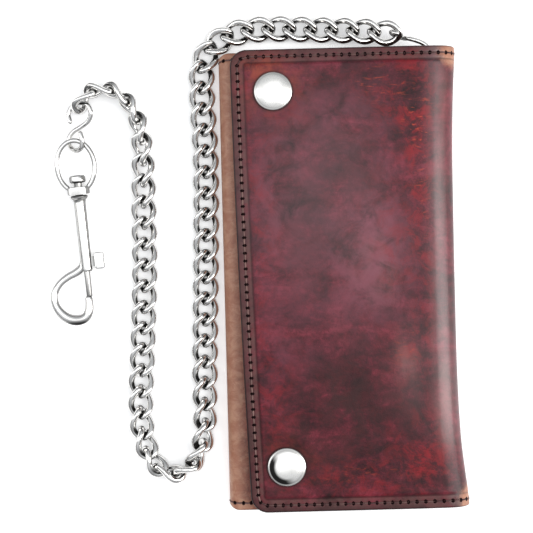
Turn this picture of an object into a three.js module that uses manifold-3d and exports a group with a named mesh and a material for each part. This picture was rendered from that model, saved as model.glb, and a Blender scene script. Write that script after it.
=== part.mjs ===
// A long bifold chain wallet lying closed, with its curb chain laid loosely beside it and a trigger snap
// on the chain's free end. Millimetres, +Z up. +X runs from the folded edge to the spine, +Y along the
// wallet. The origin is the middle of the flat underside of the back cover.
import * as THREE from 'three';
import { mergeVertices } from 'three/addons/utils/BufferGeometryUtils.js';
import Module from 'manifold-3d';

// ---------------------------------------------------------------- driving dimensions
const LENGTH = 181; // wallet, along Y
const HIDE = 2; // thickness of the cover leather
const FOLD_X = -41.2; // where the back cover starts to turn over into the inner panel
const FOLD_R = 4.8; // outer radius of that turn
const SPINE_X = 37; // where the covers start to bend round the spine
const SPINE_R = 8.1; // bend radius at the middle of the leather
const SEAM_DEG = 13; // gap between the rigid stretches of the spine bend, as an angle
const FLAP_TOP = HIDE + 2 * SPINE_R; // upper face of the closed flap
const FLAP_UNDER = FLAP_TOP - HIDE;
const FLAP_LEFT_TOP = -41.2; // the flap's free edge runs a little askew
const FLAP_LEFT_BOTTOM = -37.6;
const FLAP_CORNER = 6.5;
const BACK_CORNER = 4;
const PANEL_END = 40; // the inner panel's free edge, inside the spine
const PANEL_TOP = 2 * FOLD_R;
const PANEL_UNDER = PANEL_TOP - HIDE;
const GAP = 0.35; // clearance between pieces that rest on one another
const LINING = 0.9;
const POCKET = 0.8;
const SEAM_INSET = 2.9; // stitching, from the leather's edge
const THREAD = 0.5;

const SNAPS = { top: [-24.7, 73.9], bottom: [-23.1, -72.6] };
const CAP_R = 7.5;
const SHANK_R = 1.9;
const SHANK_HOLE_R = 2.3;
const POST_HOLE_R = 1.95;

const GROMMET = [35.8, 84.6];
const GROMMET_R = 3.8;
const GROMMET_BORE = 2.1;
const GROMMET_HOLE = 2.95;

const WIRE_R = 0.95; // S-hooks and swivel eye
const LINK_COUNT = 52;
const LINKS_PER_SECTION = 2;
const LINK_WIRE_R = 1.05;
const LINK_HALF_LENGTH = 5.85; // to the middle of the wire
const LINK_HALF_WIDTH = 3.8;
const LINK_TWIST = THREE.MathUtils.degToRad(48);
const PITCH = 8.1;
const BUNCHING = [{ at: 29.8, by: 0.55, over: 2.6 }, { at: 50, by: 0.5, over: 2 }]; // slack in the two turns
const CHAIN_LIFT = 5.2; // how much higher the first link hangs than a link on the table
const LIFTED_LINKS = 5;

// The chain's path on the table, from the wallet's S-hook to the clip's S-hook.
const CHAIN_ROUTE = [
  [24.5, 96.6], [10, 98.4], [-8, 99.8], [-24, 100.6], [-36, 100.1], [-46.6, 96.2], [-52.3, 88.5], [-53, 75.4],
  [-52.2, 52], [-52.6, 28], [-53.4, 2], [-54.4, -25], [-55, -46], [-55.4, -59], [-57.8, -68.5],
  [-63.4, -75.2], [-71, -75.8], [-76.9, -69.6], [-79.8, -61], [-80.8, -50], [-80, -36], [-78.7, -15],
  [-77.6, 8], [-77.4, 30], [-77.1, 48], [-77.5, 58], [-79.3, 67], [-84, 74.6], [-91, 78.6],
  [-98.2, 77], [-102, 71.5],
];

const CLIP_AT = [-103.1, 35.8, 3.3]; // on the barrel's axis, where it meets the eye
const CLIP_HEADING = THREE.MathUtils.degToRad(-85.5);
const EYE_TILT = THREE.MathUtils.degToRad(6.5);
const BARREL_R = 2.3;
const BARREL_BORE = 1.6;
const BARREL_END = 30.3;
const PLUNGER_R = 1.2;
const PLUNGER_START = 22;
const PLUNGER_TIP = 40.4;
const SPRING_START = 5.4;
const SPRING_R = 1.2;

// ---------------------------------------------------------------- materials
const metal = (color, roughness) => new THREE.MeshStandardMaterial({ color, roughness, metalness: 1 });
const hide = (color) => new THREE.MeshStandardMaterial({ color, roughness: 0.4, metalness: 0 });
const OXBLOOD = hide(0x5c2528);
const INNER = hide(0x7a4a2e);
const CARD_LEATHER = hide(0x3a1c1c);
const THREAD_FIBRE = new THREE.MeshStandardMaterial({ color: 0x2a1614, roughness: 0.8, metalness: 0 });
const NICKEL = metal(0xd9d9d6, 0.18);
const DULL_STEEL = metal(0xa9a9a6, 0.35);
const SPRING_STEEL = metal(0x9a9a98, 0.3);

// ---------------------------------------------------------------- solids
const wasm = await Module();
wasm.setup();

function toSolid(geometry) {
  const bare = new THREE.BufferGeometry();
  bare.setAttribute('position', geometry.getAttribute('position'));
  bare.setIndex(geometry.index);
  const merged = mergeVertices(bare, 1e-4);
  const triVerts = new Uint32Array(merged.index.array);
  const vertProperties = merged.getAttribute('position').array;
  return new wasm.Manifold(new wasm.Mesh({ numProp: 3, vertProperties, triVerts }));
}

function toGeometry(solid) {
  const mesh = solid.getMesh();
  const geometry = new THREE.BufferGeometry();
  geometry.setAttribute('position', new THREE.BufferAttribute(mesh.vertProperties, 3));
  geometry.setIndex(new THREE.BufferAttribute(mesh.triVerts, 1));
  const faceted = geometry.toNonIndexed();
  faceted.computeVertexNormals();
  return faceted;
}

const join = (...geometries) => toGeometry(geometries.map(toSolid).reduce((a, b) => a.add(b)));
const common = (a, b) => toGeometry(toSolid(a).intersect(toSolid(b)));

function cut(body, ...tools) {
  return toGeometry(tools.map(toSolid).reduce((a, b) => a.subtract(b), toSolid(body)));
}

// A plate of constant thickness from its outline, between two heights.
function plate(shape, bottom, top, curveSegments = 5) {
  const depth = top - bottom;
  const geometry = new THREE.ExtrudeGeometry(shape, { depth, bevelEnabled: false, curveSegments });
  return geometry.translate(0, 0, bottom);
}

// A section drawn in X and Z, run along the whole length of the wallet.
function alongLength(shape, length = LENGTH, curveSegments = 6) {
  const geometry = new THREE.ExtrudeGeometry(shape, { depth: length, bevelEnabled: false, curveSegments });
  return geometry.rotateX(Math.PI / 2).translate(0, length / 2, 0);
}

function box(x0, x1, y0, y1, z0, z1) {
  const geometry = new THREE.BoxGeometry(x1 - x0, y1 - y0, z1 - z0);
  return geometry.translate((x0 + x1) / 2, (y0 + y1) / 2, (z0 + z1) / 2);
}

function roundedRectangle(x0, x1, y0, y1, r) {
  const shape = new THREE.Shape();
  shape.moveTo(x0 + r, y0);
  shape.lineTo(x1 - r, y0);
  shape.absarc(x1 - r, y0 + r, r, -Math.PI / 2, 0, false);
  shape.lineTo(x1, y1 - r);
  shape.absarc(x1 - r, y1 - r, r, 0, Math.PI / 2, false);
  shape.lineTo(x0 + r, y1);
  shape.absarc(x0 + r, y1 - r, r, Math.PI / 2, Math.PI, false);
  shape.lineTo(x0, y0 + r);
  shape.absarc(x0 + r, y0 + r, r, Math.PI, 1.5 * Math.PI, false);
  return shape;
}

// A turned piece about +Z. The profile lists [radius, height] and closes on itself or ends on the axis.
function turned(profile, segments = 16) {
  const points = profile.map(([r, z]) => new THREE.Vector2(r, z));
  return new THREE.LatheGeometry(points, segments).rotateX(Math.PI / 2);
}

const closedProfile = (profile) => [...profile, profile[0]];

function hole([x, y], radius, bottom, top, segments = 12) {
  const geometry = new THREE.CylinderGeometry(radius, radius, top - bottom, segments).rotateX(Math.PI / 2);
  return geometry.translate(x, y, (bottom + top) / 2);
}

// A round wire along a smooth open curve.
function wire(points, radius, steps, sides = 8) {
  const section = new THREE.Shape();
  for (let i = 0; i < sides; i += 1) {
    const angle = (-2 * Math.PI * i) / sides;
    const place = i === 0 ? 'moveTo' : 'lineTo';
    section[place](radius * Math.cos(angle), radius * Math.sin(angle));
  }
  section.closePath();
  const path = new THREE.CatmullRomCurve3(points.map((p) => new THREE.Vector3(...p)));
  return new THREE.ExtrudeGeometry(section, { steps, extrudePath: path, bevelEnabled: false });
}

// A closed oval ring of round wire in the XY plane, its ends twisted about X by the given angle.
function ovalRing(halfLength, halfWidth, wireRadius, twist, steps, sides = 6) {
  const geometry = new THREE.TorusGeometry(halfLength, wireRadius, sides, steps);
  const position = geometry.getAttribute('position');
  for (let i = 0; i < position.count; i += 1) {
    const p = new THREE.Vector3().fromBufferAttribute(position, i);
    const angle = Math.atan2(p.y, p.x);
    const out = Math.hypot(p.x, p.y) - halfLength;
    const normal = new THREE.Vector2(halfWidth * Math.cos(angle), halfLength * Math.sin(angle)).normalize();
    const x = halfLength * Math.cos(angle) + out * normal.x;
    const y = halfWidth * Math.sin(angle) + out * normal.y;
    const turn = (twist * x) / halfLength;
    const c = Math.cos(turn);
    const s = Math.sin(turn);
    position.setXYZ(i, x, y * c - p.z * s, y * s + p.z * c);
  }
  return geometry;
}

const object = new THREE.Group();
object.name = 'chain_wallet';

function add(name, geometry, material, parent = object) {
  const mesh = new THREE.Mesh(geometry, material);
  mesh.name = name;
  parent.add(mesh);
  return mesh;
}

// ---------------------------------------------------------------- covers
const SPINE_CENTRE = HIDE / 2 + SPINE_R; // height of the bend's centre
const BEND_OUT = SPINE_R + HIDE / 2;
const BEND_IN = SPINE_R - HIDE / 2;

// A stretch of the spine bend, between two angles measured from straight down.
function bendSection(fromDeg, toDeg) {
  const a = THREE.MathUtils.degToRad(fromDeg - 90);
  const b = THREE.MathUtils.degToRad(toDeg - 90);
  const shape = new THREE.Shape();
  shape.moveTo(SPINE_X + BEND_OUT * Math.cos(a), SPINE_CENTRE + BEND_OUT * Math.sin(a));
  shape.absarc(SPINE_X, SPINE_CENTRE, BEND_OUT, a, b, false);
  shape.lineTo(SPINE_X + BEND_IN * Math.cos(b), SPINE_CENTRE + BEND_IN * Math.sin(b));
  shape.absarc(SPINE_X, SPINE_CENTRE, BEND_IN, b, a, true);
  return shape;
}

const SEAM_1 = 45;
const SEAM_2 = 135;
const HALF_SEAM = SEAM_DEG / 2;

// The back cover: the flat back, its turned-over edge and the inner panel that carries the snap studs.
function backCover() {
  const a = THREE.MathUtils.degToRad(SEAM_1 - HALF_SEAM - 90);
  const shape = new THREE.Shape();
  shape.moveTo(FOLD_X, 0);
  shape.lineTo(SPINE_X, 0);
  shape.absarc(SPINE_X, SPINE_CENTRE, BEND_OUT, -Math.PI / 2, a, false);
  shape.lineTo(SPINE_X + BEND_IN * Math.cos(a), SPINE_CENTRE + BEND_IN * Math.sin(a));
  shape.absarc(SPINE_X, SPINE_CENTRE, BEND_IN, a, -Math.PI / 2, true);
  shape.lineTo(FOLD_X, HIDE);
  shape.absarc(FOLD_X, FOLD_R, FOLD_R - HIDE, -Math.PI / 2, Math.PI / 2, true);
  shape.lineTo(PANEL_END, PANEL_UNDER);
  shape.lineTo(PANEL_END, PANEL_TOP);
  shape.lineTo(FOLD_X, PANEL_TOP);
  shape.absarc(FOLD_X, FOLD_R, FOLD_R, Math.PI / 2, 1.5 * Math.PI, false);
  const drill = (at, radius) => hole(at, radius, PANEL_UNDER - 1, PANEL_TOP + 1);
  const holes = Object.values(SNAPS).map((at) => drill(at, POST_HOLE_R));
  const right = SPINE_X + BEND_OUT + BACK_CORNER;
  const outline = roundedRectangle(FOLD_X - FOLD_R, right, -LENGTH / 2, LENGTH / 2, BACK_CORNER);
  const blank = common(alongLength(shape), plate(outline, -1, PANEL_TOP + 1));
  return cut(blank, ...holes, drill(GROMMET, GROMMET_HOLE));
}

// The flap's outline seen from above, shrunk by an inset, as far as the given right-hand edge.
function flapOutline(inset, right) {
  const half = LENGTH / 2 - inset;
  const lean = Math.atan((FLAP_LEFT_BOTTOM - FLAP_LEFT_TOP) / LENGTH);
  const r = FLAP_CORNER - Math.min(inset, 4);
  const top = FLAP_LEFT_TOP + inset;
  const bottom = FLAP_LEFT_BOTTOM + inset;
  const shape = new THREE.Shape();
  shape.moveTo(right, -half);
  shape.lineTo(right, half);
  shape.lineTo(top + r, half);
  shape.absarc(top + r, half - r, r, Math.PI / 2, Math.PI + lean, false);
  shape.absarc(bottom + r, -half + r, r, Math.PI + lean, 1.5 * Math.PI, false);
  return shape;
}

// The two holes for the snap caps' shanks, through everything between two heights.
function shankHoles(bottom, top) {
  return Object.values(SNAPS).map((at) => hole(at, SHANK_HOLE_R, bottom - 1, top + 1));
}

function flapCover() {
  const a = THREE.MathUtils.degToRad(SEAM_2 + HALF_SEAM - 90);
  const shape = new THREE.Shape();
  shape.moveTo(SPINE_X + BEND_OUT * Math.cos(a), SPINE_CENTRE + BEND_OUT * Math.sin(a));
  shape.absarc(SPINE_X, SPINE_CENTRE, BEND_OUT, a, Math.PI / 2, false);
  shape.lineTo(FLAP_LEFT_TOP - 1, FLAP_TOP);
  shape.lineTo(FLAP_LEFT_TOP - 1, FLAP_UNDER);
  shape.lineTo(SPINE_X, FLAP_UNDER);
  shape.absarc(SPINE_X, SPINE_CENTRE, BEND_IN, Math.PI / 2, a, true);
  const blank = common(alongLength(shape), plate(flapOutline(0, SPINE_X + SPINE_R + 2), 0, FLAP_TOP + 1));
  return cut(blank, ...shankHoles(FLAP_UNDER, FLAP_TOP));
}

add('cover_back', backCover(), OXBLOOD);
add('cover_spine', alongLength(bendSection(SEAM_1 + HALF_SEAM, SEAM_2 - HALF_SEAM)), OXBLOOD);
add('cover_flap', flapCover(), OXBLOOD);

// ---------------------------------------------------------------- lining, divider and card pockets
const LINING_TOP = FLAP_UNDER - GAP;
const LINING_UNDER = LINING_TOP - LINING;

function flapLining() {
  const sheet = plate(flapOutline(0.8, SPINE_X - 3), LINING_UNDER, LINING_TOP);
  return cut(sheet, ...shankHoles(LINING_UNDER, LINING_TOP));
}

add('flap_lining', flapLining(), INNER);

const POCKET_LEFT = -34;
const POCKET_MOUTHS = [26, 18, 10];
const POCKET_HALF_HEIGHT = 50;
POCKET_MOUTHS.forEach((mouth, i) => {
  const top = LINING_UNDER - GAP - i * (POCKET + GAP);
  const outline = roundedRectangle(POCKET_LEFT, mouth, -POCKET_HALF_HEIGHT, POCKET_HALF_HEIGHT, 2);
  add(`card_pocket_${i + 1}`, plate(outline, top - POCKET, top, 3), CARD_LEATHER);
});

const DIVIDER_UNDER = HIDE + GAP;
add(
  'bill_divider',
  plate(roundedRectangle(FOLD_X + 1, SPINE_X - 3, -86, 86, 3), DIVIDER_UNDER, DIVIDER_UNDER + POCKET, 3),
  INNER,
);

// ---------------------------------------------------------------- stitching
// A row of stitching is one run of thread lying on the leather, through the given points.
function seam(points, z) {
  const stretches = points.slice(1).map(([x, y], i) => {
    const [fromX, fromY] = points[i];
    const stretch = new THREE.BoxGeometry(Math.hypot(x - fromX, y - fromY) + THREAD / 2, THREAD, THREAD);
    return stretch.rotateZ(Math.atan2(y - fromY, x - fromX)).translate((x + fromX) / 2, (y + fromY) / 2, z);
  });
  return join(...stretches);
}

const FLAP_SEAM_Z = FLAP_TOP + GAP + THREAD / 2;
const PANEL_SEAM_Z = PANEL_TOP + GAP + THREAD / 2;
const seamHalf = LENGTH / 2 - SEAM_INSET;
const GROMMET_SIDE_END = 26; // the upper row stops short of the grommet

const flapRun = flapOutline(SEAM_INSET, SPINE_X).getPoints(3).slice(1).map((p) => [p.x, p.y]);
flapRun.push([SPINE_X, -seamHalf]);

add('thread_flap', seam(flapRun, FLAP_SEAM_Z), THREAD_FIBRE);
const panelRow = (y, end) => seam([[FOLD_X, y], [end, y]], PANEL_SEAM_Z);
add('thread_panel_top', panelRow(seamHalf, GROMMET_SIDE_END), THREAD_FIBRE);
add('thread_panel_bottom', panelRow(-seamHalf, PANEL_END - 2), THREAD_FIBRE);

// ---------------------------------------------------------------- snap fasteners
const CAP_UNDER = FLAP_TOP + 0.3;
const SOCKET_TOP = LINING_UNDER - 0.3;
const STUD_BASE = PANEL_TOP + GAP;

const capProfile = [
  [0, CAP_UNDER + 2.1], [2.6, CAP_UNDER + 2], [4.8, CAP_UNDER + 1.65], [6.4, CAP_UNDER + 1.1],
  [7.2, CAP_UNDER + 0.6], [CAP_R, CAP_UNDER + 0.2], [CAP_R - 0.1, CAP_UNDER], [SHANK_R, CAP_UNDER],
  [SHANK_R, SOCKET_TOP - 1.3], [0, SOCKET_TOP - 1.3],
].reverse();

const socketProfile = closedProfile([
  [SHANK_HOLE_R, SOCKET_TOP - 0.8], [4.4, SOCKET_TOP - 0.8], [4.4, SOCKET_TOP - 2.6],
  [3.1, SOCKET_TOP - 2.6], [3.1, SOCKET_TOP - 3.1], [5.1, SOCKET_TOP - 3.1], [5.2, SOCKET_TOP],
  [SHANK_HOLE_R, SOCKET_TOP],
]);

const studProfile = closedProfile([
  [1.85, STUD_BASE], [4.6, STUD_BASE], [4.6, STUD_BASE + 0.6], [2.25, STUD_BASE + 0.7],
  [2.25, STUD_BASE + 1.9], [2.75, STUD_BASE + 2.2], [2.5, STUD_BASE + 2.75], [1.85, STUD_BASE + 2.75],
]);

const POST_UNDER = PANEL_UNDER - GAP - 0.65;
const postProfile = [
  [0, POST_UNDER], [4, POST_UNDER], [4, PANEL_UNDER - GAP], [1.5, PANEL_UNDER - GAP],
  [1.5, STUD_BASE + 2.4], [0, STUD_BASE + 2.4],
];

for (const [end, [x, y]] of Object.entries(SNAPS)) {
  const snap = new THREE.Group();
  snap.position.set(x, y, 0);
  object.add(snap);
  add(`snap_cap_${end}`, turned(capProfile, 20), NICKEL, snap);
  add(`snap_socket_${end}`, turned(socketProfile), NICKEL, snap);
  add(`snap_stud_${end}`, turned(studProfile, 16), NICKEL, snap);
  add(`snap_post_${end}`, turned(postProfile, 16), DULL_STEEL, snap);
}

// ---------------------------------------------------------------- grommet
const EYELET_TOP = PANEL_TOP + 0.9;
const EYELET_END = PANEL_UNDER - 1.05;
const eyeletProfile = closedProfile([
  [GROMMET_BORE, EYELET_END], [GROMMET_BORE + 0.5, EYELET_END], [GROMMET_BORE + 0.5, PANEL_TOP + 0.3],
  [GROMMET_R, PANEL_TOP + 0.3], [GROMMET_R, EYELET_TOP - 0.2], [GROMMET_R - 0.6, EYELET_TOP],
  [GROMMET_BORE, EYELET_TOP],
]);
const washerProfile = closedProfile([
  [GROMMET_HOLE, PANEL_UNDER - 0.95], [GROMMET_R, PANEL_UNDER - 0.95], [GROMMET_R, PANEL_UNDER - 0.35],
  [GROMMET_HOLE, PANEL_UNDER - 0.35],
]);
const grommet = new THREE.Group();
grommet.position.set(...GROMMET, 0);
object.add(grommet);
add('grommet_eyelet', turned(eyeletProfile), NICKEL, grommet);
add('grommet_washer', turned(washerProfile), NICKEL, grommet);

// ---------------------------------------------------------------- chain
const smooth = (t) => THREE.MathUtils.smoothstep(t, 0, 1);

// The link rolls over onto its edge and round again in the bottom turn, and onto its edge at the far end.
const rollOf = (i) => THREE.MathUtils.degToRad(-180 * smooth((i - 21) / 16.5) - 90 * smooth((i - 41) / 9.5));

function pitchOf(i) {
  const slack = BUNCHING.map(({ at, by, over }) => by * Math.exp(-(((i - at) / over) ** 2)));
  return PITCH - slack.reduce((a, b) => a + b);
}

function jointPositions() {
  const curve = new THREE.CatmullRomCurve3(CHAIN_ROUTE.map(([x, y]) => new THREE.Vector3(x, y, 0)));
  curve.arcLengthDivisions = 2000;
  const travelled = [0];
  for (let i = 0; i < LINK_COUNT; i += 1) travelled.push(travelled[i] + pitchOf(i));
  const total = travelled[LINK_COUNT];
  return travelled.map((s) => curve.getPointAt(s / total));
}

const CHAIN_JOINTS = jointPositions();
const liftOf = (i) => CHAIN_LIFT * (1 - smooth(i / LIFTED_LINKS));

// One link lying between two neighbouring joints of the chain, its lowest point on the table or lifted.
function chainLink(i) {
  const a = CHAIN_JOINTS[i].clone().setZ(liftOf(i));
  const b = CHAIN_JOINTS[i + 1].clone().setZ(liftOf(i + 1));
  const along = b.clone().sub(a);
  const link = ovalRing(LINK_HALF_LENGTH, LINK_HALF_WIDTH, LINK_WIRE_R, LINK_TWIST, 10);
  link.rotateX(rollOf(i));
  link.computeBoundingBox();
  const height = -link.boundingBox.min.z;
  link.rotateY(-Math.atan2(along.z, Math.hypot(along.x, along.y)));
  link.rotateZ(Math.atan2(along.y, along.x));
  const middle = a.add(b).multiplyScalar(0.5);
  return link.translate(middle.x, middle.y, middle.z + height + 0.06);
}

// Neighbouring links of a section are held together by a bead where their wires cross.
function bead(i) {
  const near = (geometry, target) => {
    const position = geometry.getAttribute('position');
    const best = new THREE.Vector3(Infinity, 0, 0);
    const p = new THREE.Vector3();
    for (let k = 0; k < position.count; k += 1) {
      p.fromBufferAttribute(position, k);
      if (p.distanceTo(target) < best.distanceTo(target)) best.copy(p);
    }
    return best;
  };
  const first = chainLink(i);
  const second = chainLink(i + 1);
  let a = near(first, CHAIN_JOINTS[i + 1].clone().setZ(3));
  let b = a;
  for (let k = 0; k < 4; k += 1) {
    b = near(second, a);
    a = near(first, b);
  }
  const middle = a.clone().add(b).multiplyScalar(0.5);
  const radius = a.distanceTo(b) / 2 + 0.55;
  return new THREE.OctahedronGeometry(radius * 1.25, 0).translate(middle.x, middle.y, middle.z);
}

for (let i = 0; i < LINK_COUNT; i += LINKS_PER_SECTION) {
  const name = `chain_${String(i / LINKS_PER_SECTION + 1).padStart(2, '0')}`;
  add(name, join(chainLink(i), chainLink(i + 1), bead(i)), NICKEL);
}

// ---------------------------------------------------------------- S-hooks
// The wallet's S-hook rises through the grommet, crosses the panel's end and turns along the chain.
const WALLET_HOOK = [
  [37.4, 89.4, 5.4], [36.9, 87.4, 5], [36.2, 85.6, 5.3], [35.8, 84.6, 7], [35.8, 84.6, 9.8],
  [36.2, 85.7, 11.6], [36.9, 88, 12.1], [36.6, 90.6, 11.9], [34.4, 92.4, 11.5], [31.6, 93.6, 11],
  [29.3, 94.5, 9.4], [28.4, 94.9, 6.8], [27, 95.6, 4.7], [24.6, 96.5, 4.6], [23.1, 97.2, 6.6],
  [23.1, 97.2, 9.2], [24.9, 96.4, 10.7],
];
add('s_hook_wallet', wire(WALLET_HOOK, WIRE_R, 34, 6), NICKEL);

const CLIP_HOOK = [
  [-106, 65.6, 3.3], [-106.6, 68.6, 2.9], [-105, 71.6, 3.2], [-101.8, 73, 4.9], [-98.6, 71.8, 6.6],
  [-97.2, 68.6, 6.8], [-98.6, 65.3, 5.4], [-101.8, 63.2, 3.9], [-105, 61.4, 3], [-106.8, 58.8, 2.8],
  [-106.2, 55.6, 3.2], [-103.6, 53.9, 4.8], [-101.2, 55, 7.2], [-100.8, 58, 8.3], [-101.4, 60.4, 8.1],
];
add('s_hook_clip', wire(CLIP_HOOK, WIRE_R, 30, 6), NICKEL);

// ---------------------------------------------------------------- swivel clip
// Drawn with its axis along +X from the eye to the hook's tip, +Y towards the thumb knob.
const clip = new THREE.Group();
clip.position.set(...CLIP_AT);
clip.rotation.z = CLIP_HEADING;
object.add(clip);

const onAxis = (profile, segments = 16) => turned(profile, segments).rotateY(Math.PI / 2);

function rodAlong(from, to, radius, segments = 16) {
  return onAxis([[0, from], [radius, from], [radius, to], [0, to]], segments);
}

const EYE_HALF_LENGTH = 10.2;
const EYE_HALF_WIDTH = 7.5;
const EYE_CENTRE = -12; // along the axis, from the barrel's shoulder
const BOSS_HALF_HEIGHT = 3; // the boss is flattened above and below
const COLLAR_R = 3.2;

function swivelEye() {
  const ring = ovalRing(EYE_HALF_LENGTH, EYE_HALF_WIDTH, WIRE_R, 0, 20).translate(EYE_CENTRE, 0, 0);
  const round = onAxis([[0, -3.6], [4.2, -3.6], [4.4, -2.8], [4.4, -0.9], [0, -0.9]], 20);
  const boss = common(round, box(-4, 0, -5, 5, -BOSS_HALF_HEIGHT, BOSS_HALF_HEIGHT));
  const bore = onAxis([[0, -20], [2.4, -20], [2.4, 5], [0, 5]]);
  const clear = onAxis([[0, -20], [3.6, -20], [3.6, -3.6], [0, -3.6]]);
  return cut(join(ring, boss), bore, clear).rotateY(EYE_TILT);
}

const clipProfile = [
  [0, -8.2], [2.8, -8.2], [3.2, -7.7], [3.2, -5.6], [1.6, -5.3], [1.6, -0.1], [COLLAR_R, -0.1],
  [COLLAR_R, 0.9], [BARREL_R, 2.4], [BARREL_R, BARREL_END], [BARREL_BORE, BARREL_END],
  [BARREL_BORE, 5], [0, 5],
];

const HOOK_ARM = [
  [28.8, -2.4, 0], [30.2, -4.4, 0], [31.6, -7.6, 0], [34, -11.2, 0], [37.6, -13.7, 0], [41.6, -14, 0],
  [45.6, -12.2, 0], [48.6, -9, 0], [49.6, -5.4, 0], [48.6, -2.4, 0], [45.9, -0.7, 0], [43, -0.4, 0],
  [41, -0.4, 0],
];

function clipBody() {
  const barrel = onAxis(clipProfile);
  const arm = wire(HOOK_ARM, 1.5, 26);
  const slot = box(15.2, 29.2, 0, 4, -0.85, 0.85);
  const bore = onAxis([[0, 5.2], [BARREL_BORE, 5.2], [BARREL_BORE, 34], [0, 34]]);
  return cut(join(barrel, arm), slot, bore);
}

function plunger() {
  const rod = rodAlong(PLUNGER_START, PLUNGER_TIP, PLUNGER_R);
  const stem = box(24.4, 28.4, 0, 4.2, -0.5, 0.5);
  const knob = plate(roundedRectangle(23, 29.8, 3.6, 7.2, 1), -1.9, 1.9, 3);
  return join(rod, stem, knob);
}

add('swivel_eye', swivelEye(), NICKEL, clip);
add('clip_body', clipBody(), NICKEL, clip);
add('clip_plunger', plunger(), NICKEL, clip);
add('clip_spring', rodAlong(SPRING_START, PLUNGER_START - 0.3, SPRING_R, 10), SPRING_STEEL, clip);

export default object;
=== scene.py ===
# A long chain wallet in oxblood leather with its nickel curb chain, snap caps and trigger snap.
# Lengths in this script are millimetres in the CAD part's frame, and become metres when a mesh is made.
import math

import bmesh
import bpy
import numpy as np
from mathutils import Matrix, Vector


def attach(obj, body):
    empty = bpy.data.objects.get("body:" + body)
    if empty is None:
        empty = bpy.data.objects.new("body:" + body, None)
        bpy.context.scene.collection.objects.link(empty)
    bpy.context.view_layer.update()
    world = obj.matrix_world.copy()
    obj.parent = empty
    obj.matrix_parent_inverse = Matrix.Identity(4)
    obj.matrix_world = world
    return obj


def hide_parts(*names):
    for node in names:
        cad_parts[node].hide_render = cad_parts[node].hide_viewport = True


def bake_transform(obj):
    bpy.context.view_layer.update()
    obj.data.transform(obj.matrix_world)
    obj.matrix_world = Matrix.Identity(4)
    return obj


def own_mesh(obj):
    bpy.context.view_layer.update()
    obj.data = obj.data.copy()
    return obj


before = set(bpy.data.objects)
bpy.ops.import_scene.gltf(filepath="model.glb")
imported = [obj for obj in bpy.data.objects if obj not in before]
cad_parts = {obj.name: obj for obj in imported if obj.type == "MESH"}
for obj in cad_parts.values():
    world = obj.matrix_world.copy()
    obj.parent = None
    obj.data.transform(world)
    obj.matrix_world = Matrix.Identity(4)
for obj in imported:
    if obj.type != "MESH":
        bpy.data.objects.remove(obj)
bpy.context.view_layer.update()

MM = 0.001

# ---------------------------------------------------------------- camera and light
CAMERA_AT = (-29.0, 5.7, 620.0)
CAMERA_ROLL = math.radians(-1.5)
LENS = 104.25

camera_data = bpy.data.cameras.new("camera")
camera_data.lens = LENS
camera_data.sensor_width = 36
camera = bpy.data.objects.new("camera", camera_data)
camera.location = [c * MM for c in CAMERA_AT]
camera.rotation_euler = (0, 0, CAMERA_ROLL)
bpy.context.scene.collection.objects.link(camera)
bpy.context.scene.camera = camera


def softbox(name, at, size, power, target=(-20, 0, 5), colour=(1, 1, 1)):
    """A rectangular studio light at a place, aimed at a target. Its size is in metres."""
    light = bpy.data.lights.new(name, "AREA")
    light.shape = "RECTANGLE"
    light.size, light.size_y = size
    light.energy = power
    light.color = colour
    obj = bpy.data.objects.new(name, light)
    obj.location = Vector(at) * MM
    obj.rotation_euler = (Vector(target) - Vector(at)).to_track_quat("-Z", "Y").to_euler()
    bpy.context.scene.collection.objects.link(obj)


softbox("spine_side", (690, -60, 570), (0.34, 1.1), 7.0, colour=(1.0, 0.98, 0.96))
softbox("overhead", (-60, 120, 1250), (1.0, 0.8), 2.6)
softbox("clip_side", (-800, 120, 560), (0.4, 1.0), 1.8)

world = bpy.data.worlds.new("studio")
bpy.context.scene.world = world
world.use_nodes = True
sky = world.node_tree.nodes
sky_place = sky.new("ShaderNodeTexCoord")
sky_split = sky.new("ShaderNodeSeparateXYZ")
sky_ramp = sky.new("ShaderNodeValToRGB")
world.node_tree.links.new(sky_place.outputs["Generated"], sky_split.inputs[0])
world.node_tree.links.new(sky_split.outputs["Z"], sky_ramp.inputs["Fac"])
world.node_tree.links.new(sky_ramp.outputs["Color"], sky["Background"].inputs["Color"])
SKY_STOPS = [(0.05, (0.07, 0.07, 0.075, 1)), (0.8, (0.85, 0.87, 0.9, 1))]  # dark low down, pale overhead
SKY_STRENGTH = 0.88
for stop, (height, colour) in zip(sky_ramp.color_ramp.elements, SKY_STOPS):
    stop.position, stop.color = height, colour
sky["Background"].inputs["Strength"].default_value = SKY_STRENGTH
bpy.context.scene.view_settings.view_transform = "Standard"


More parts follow.
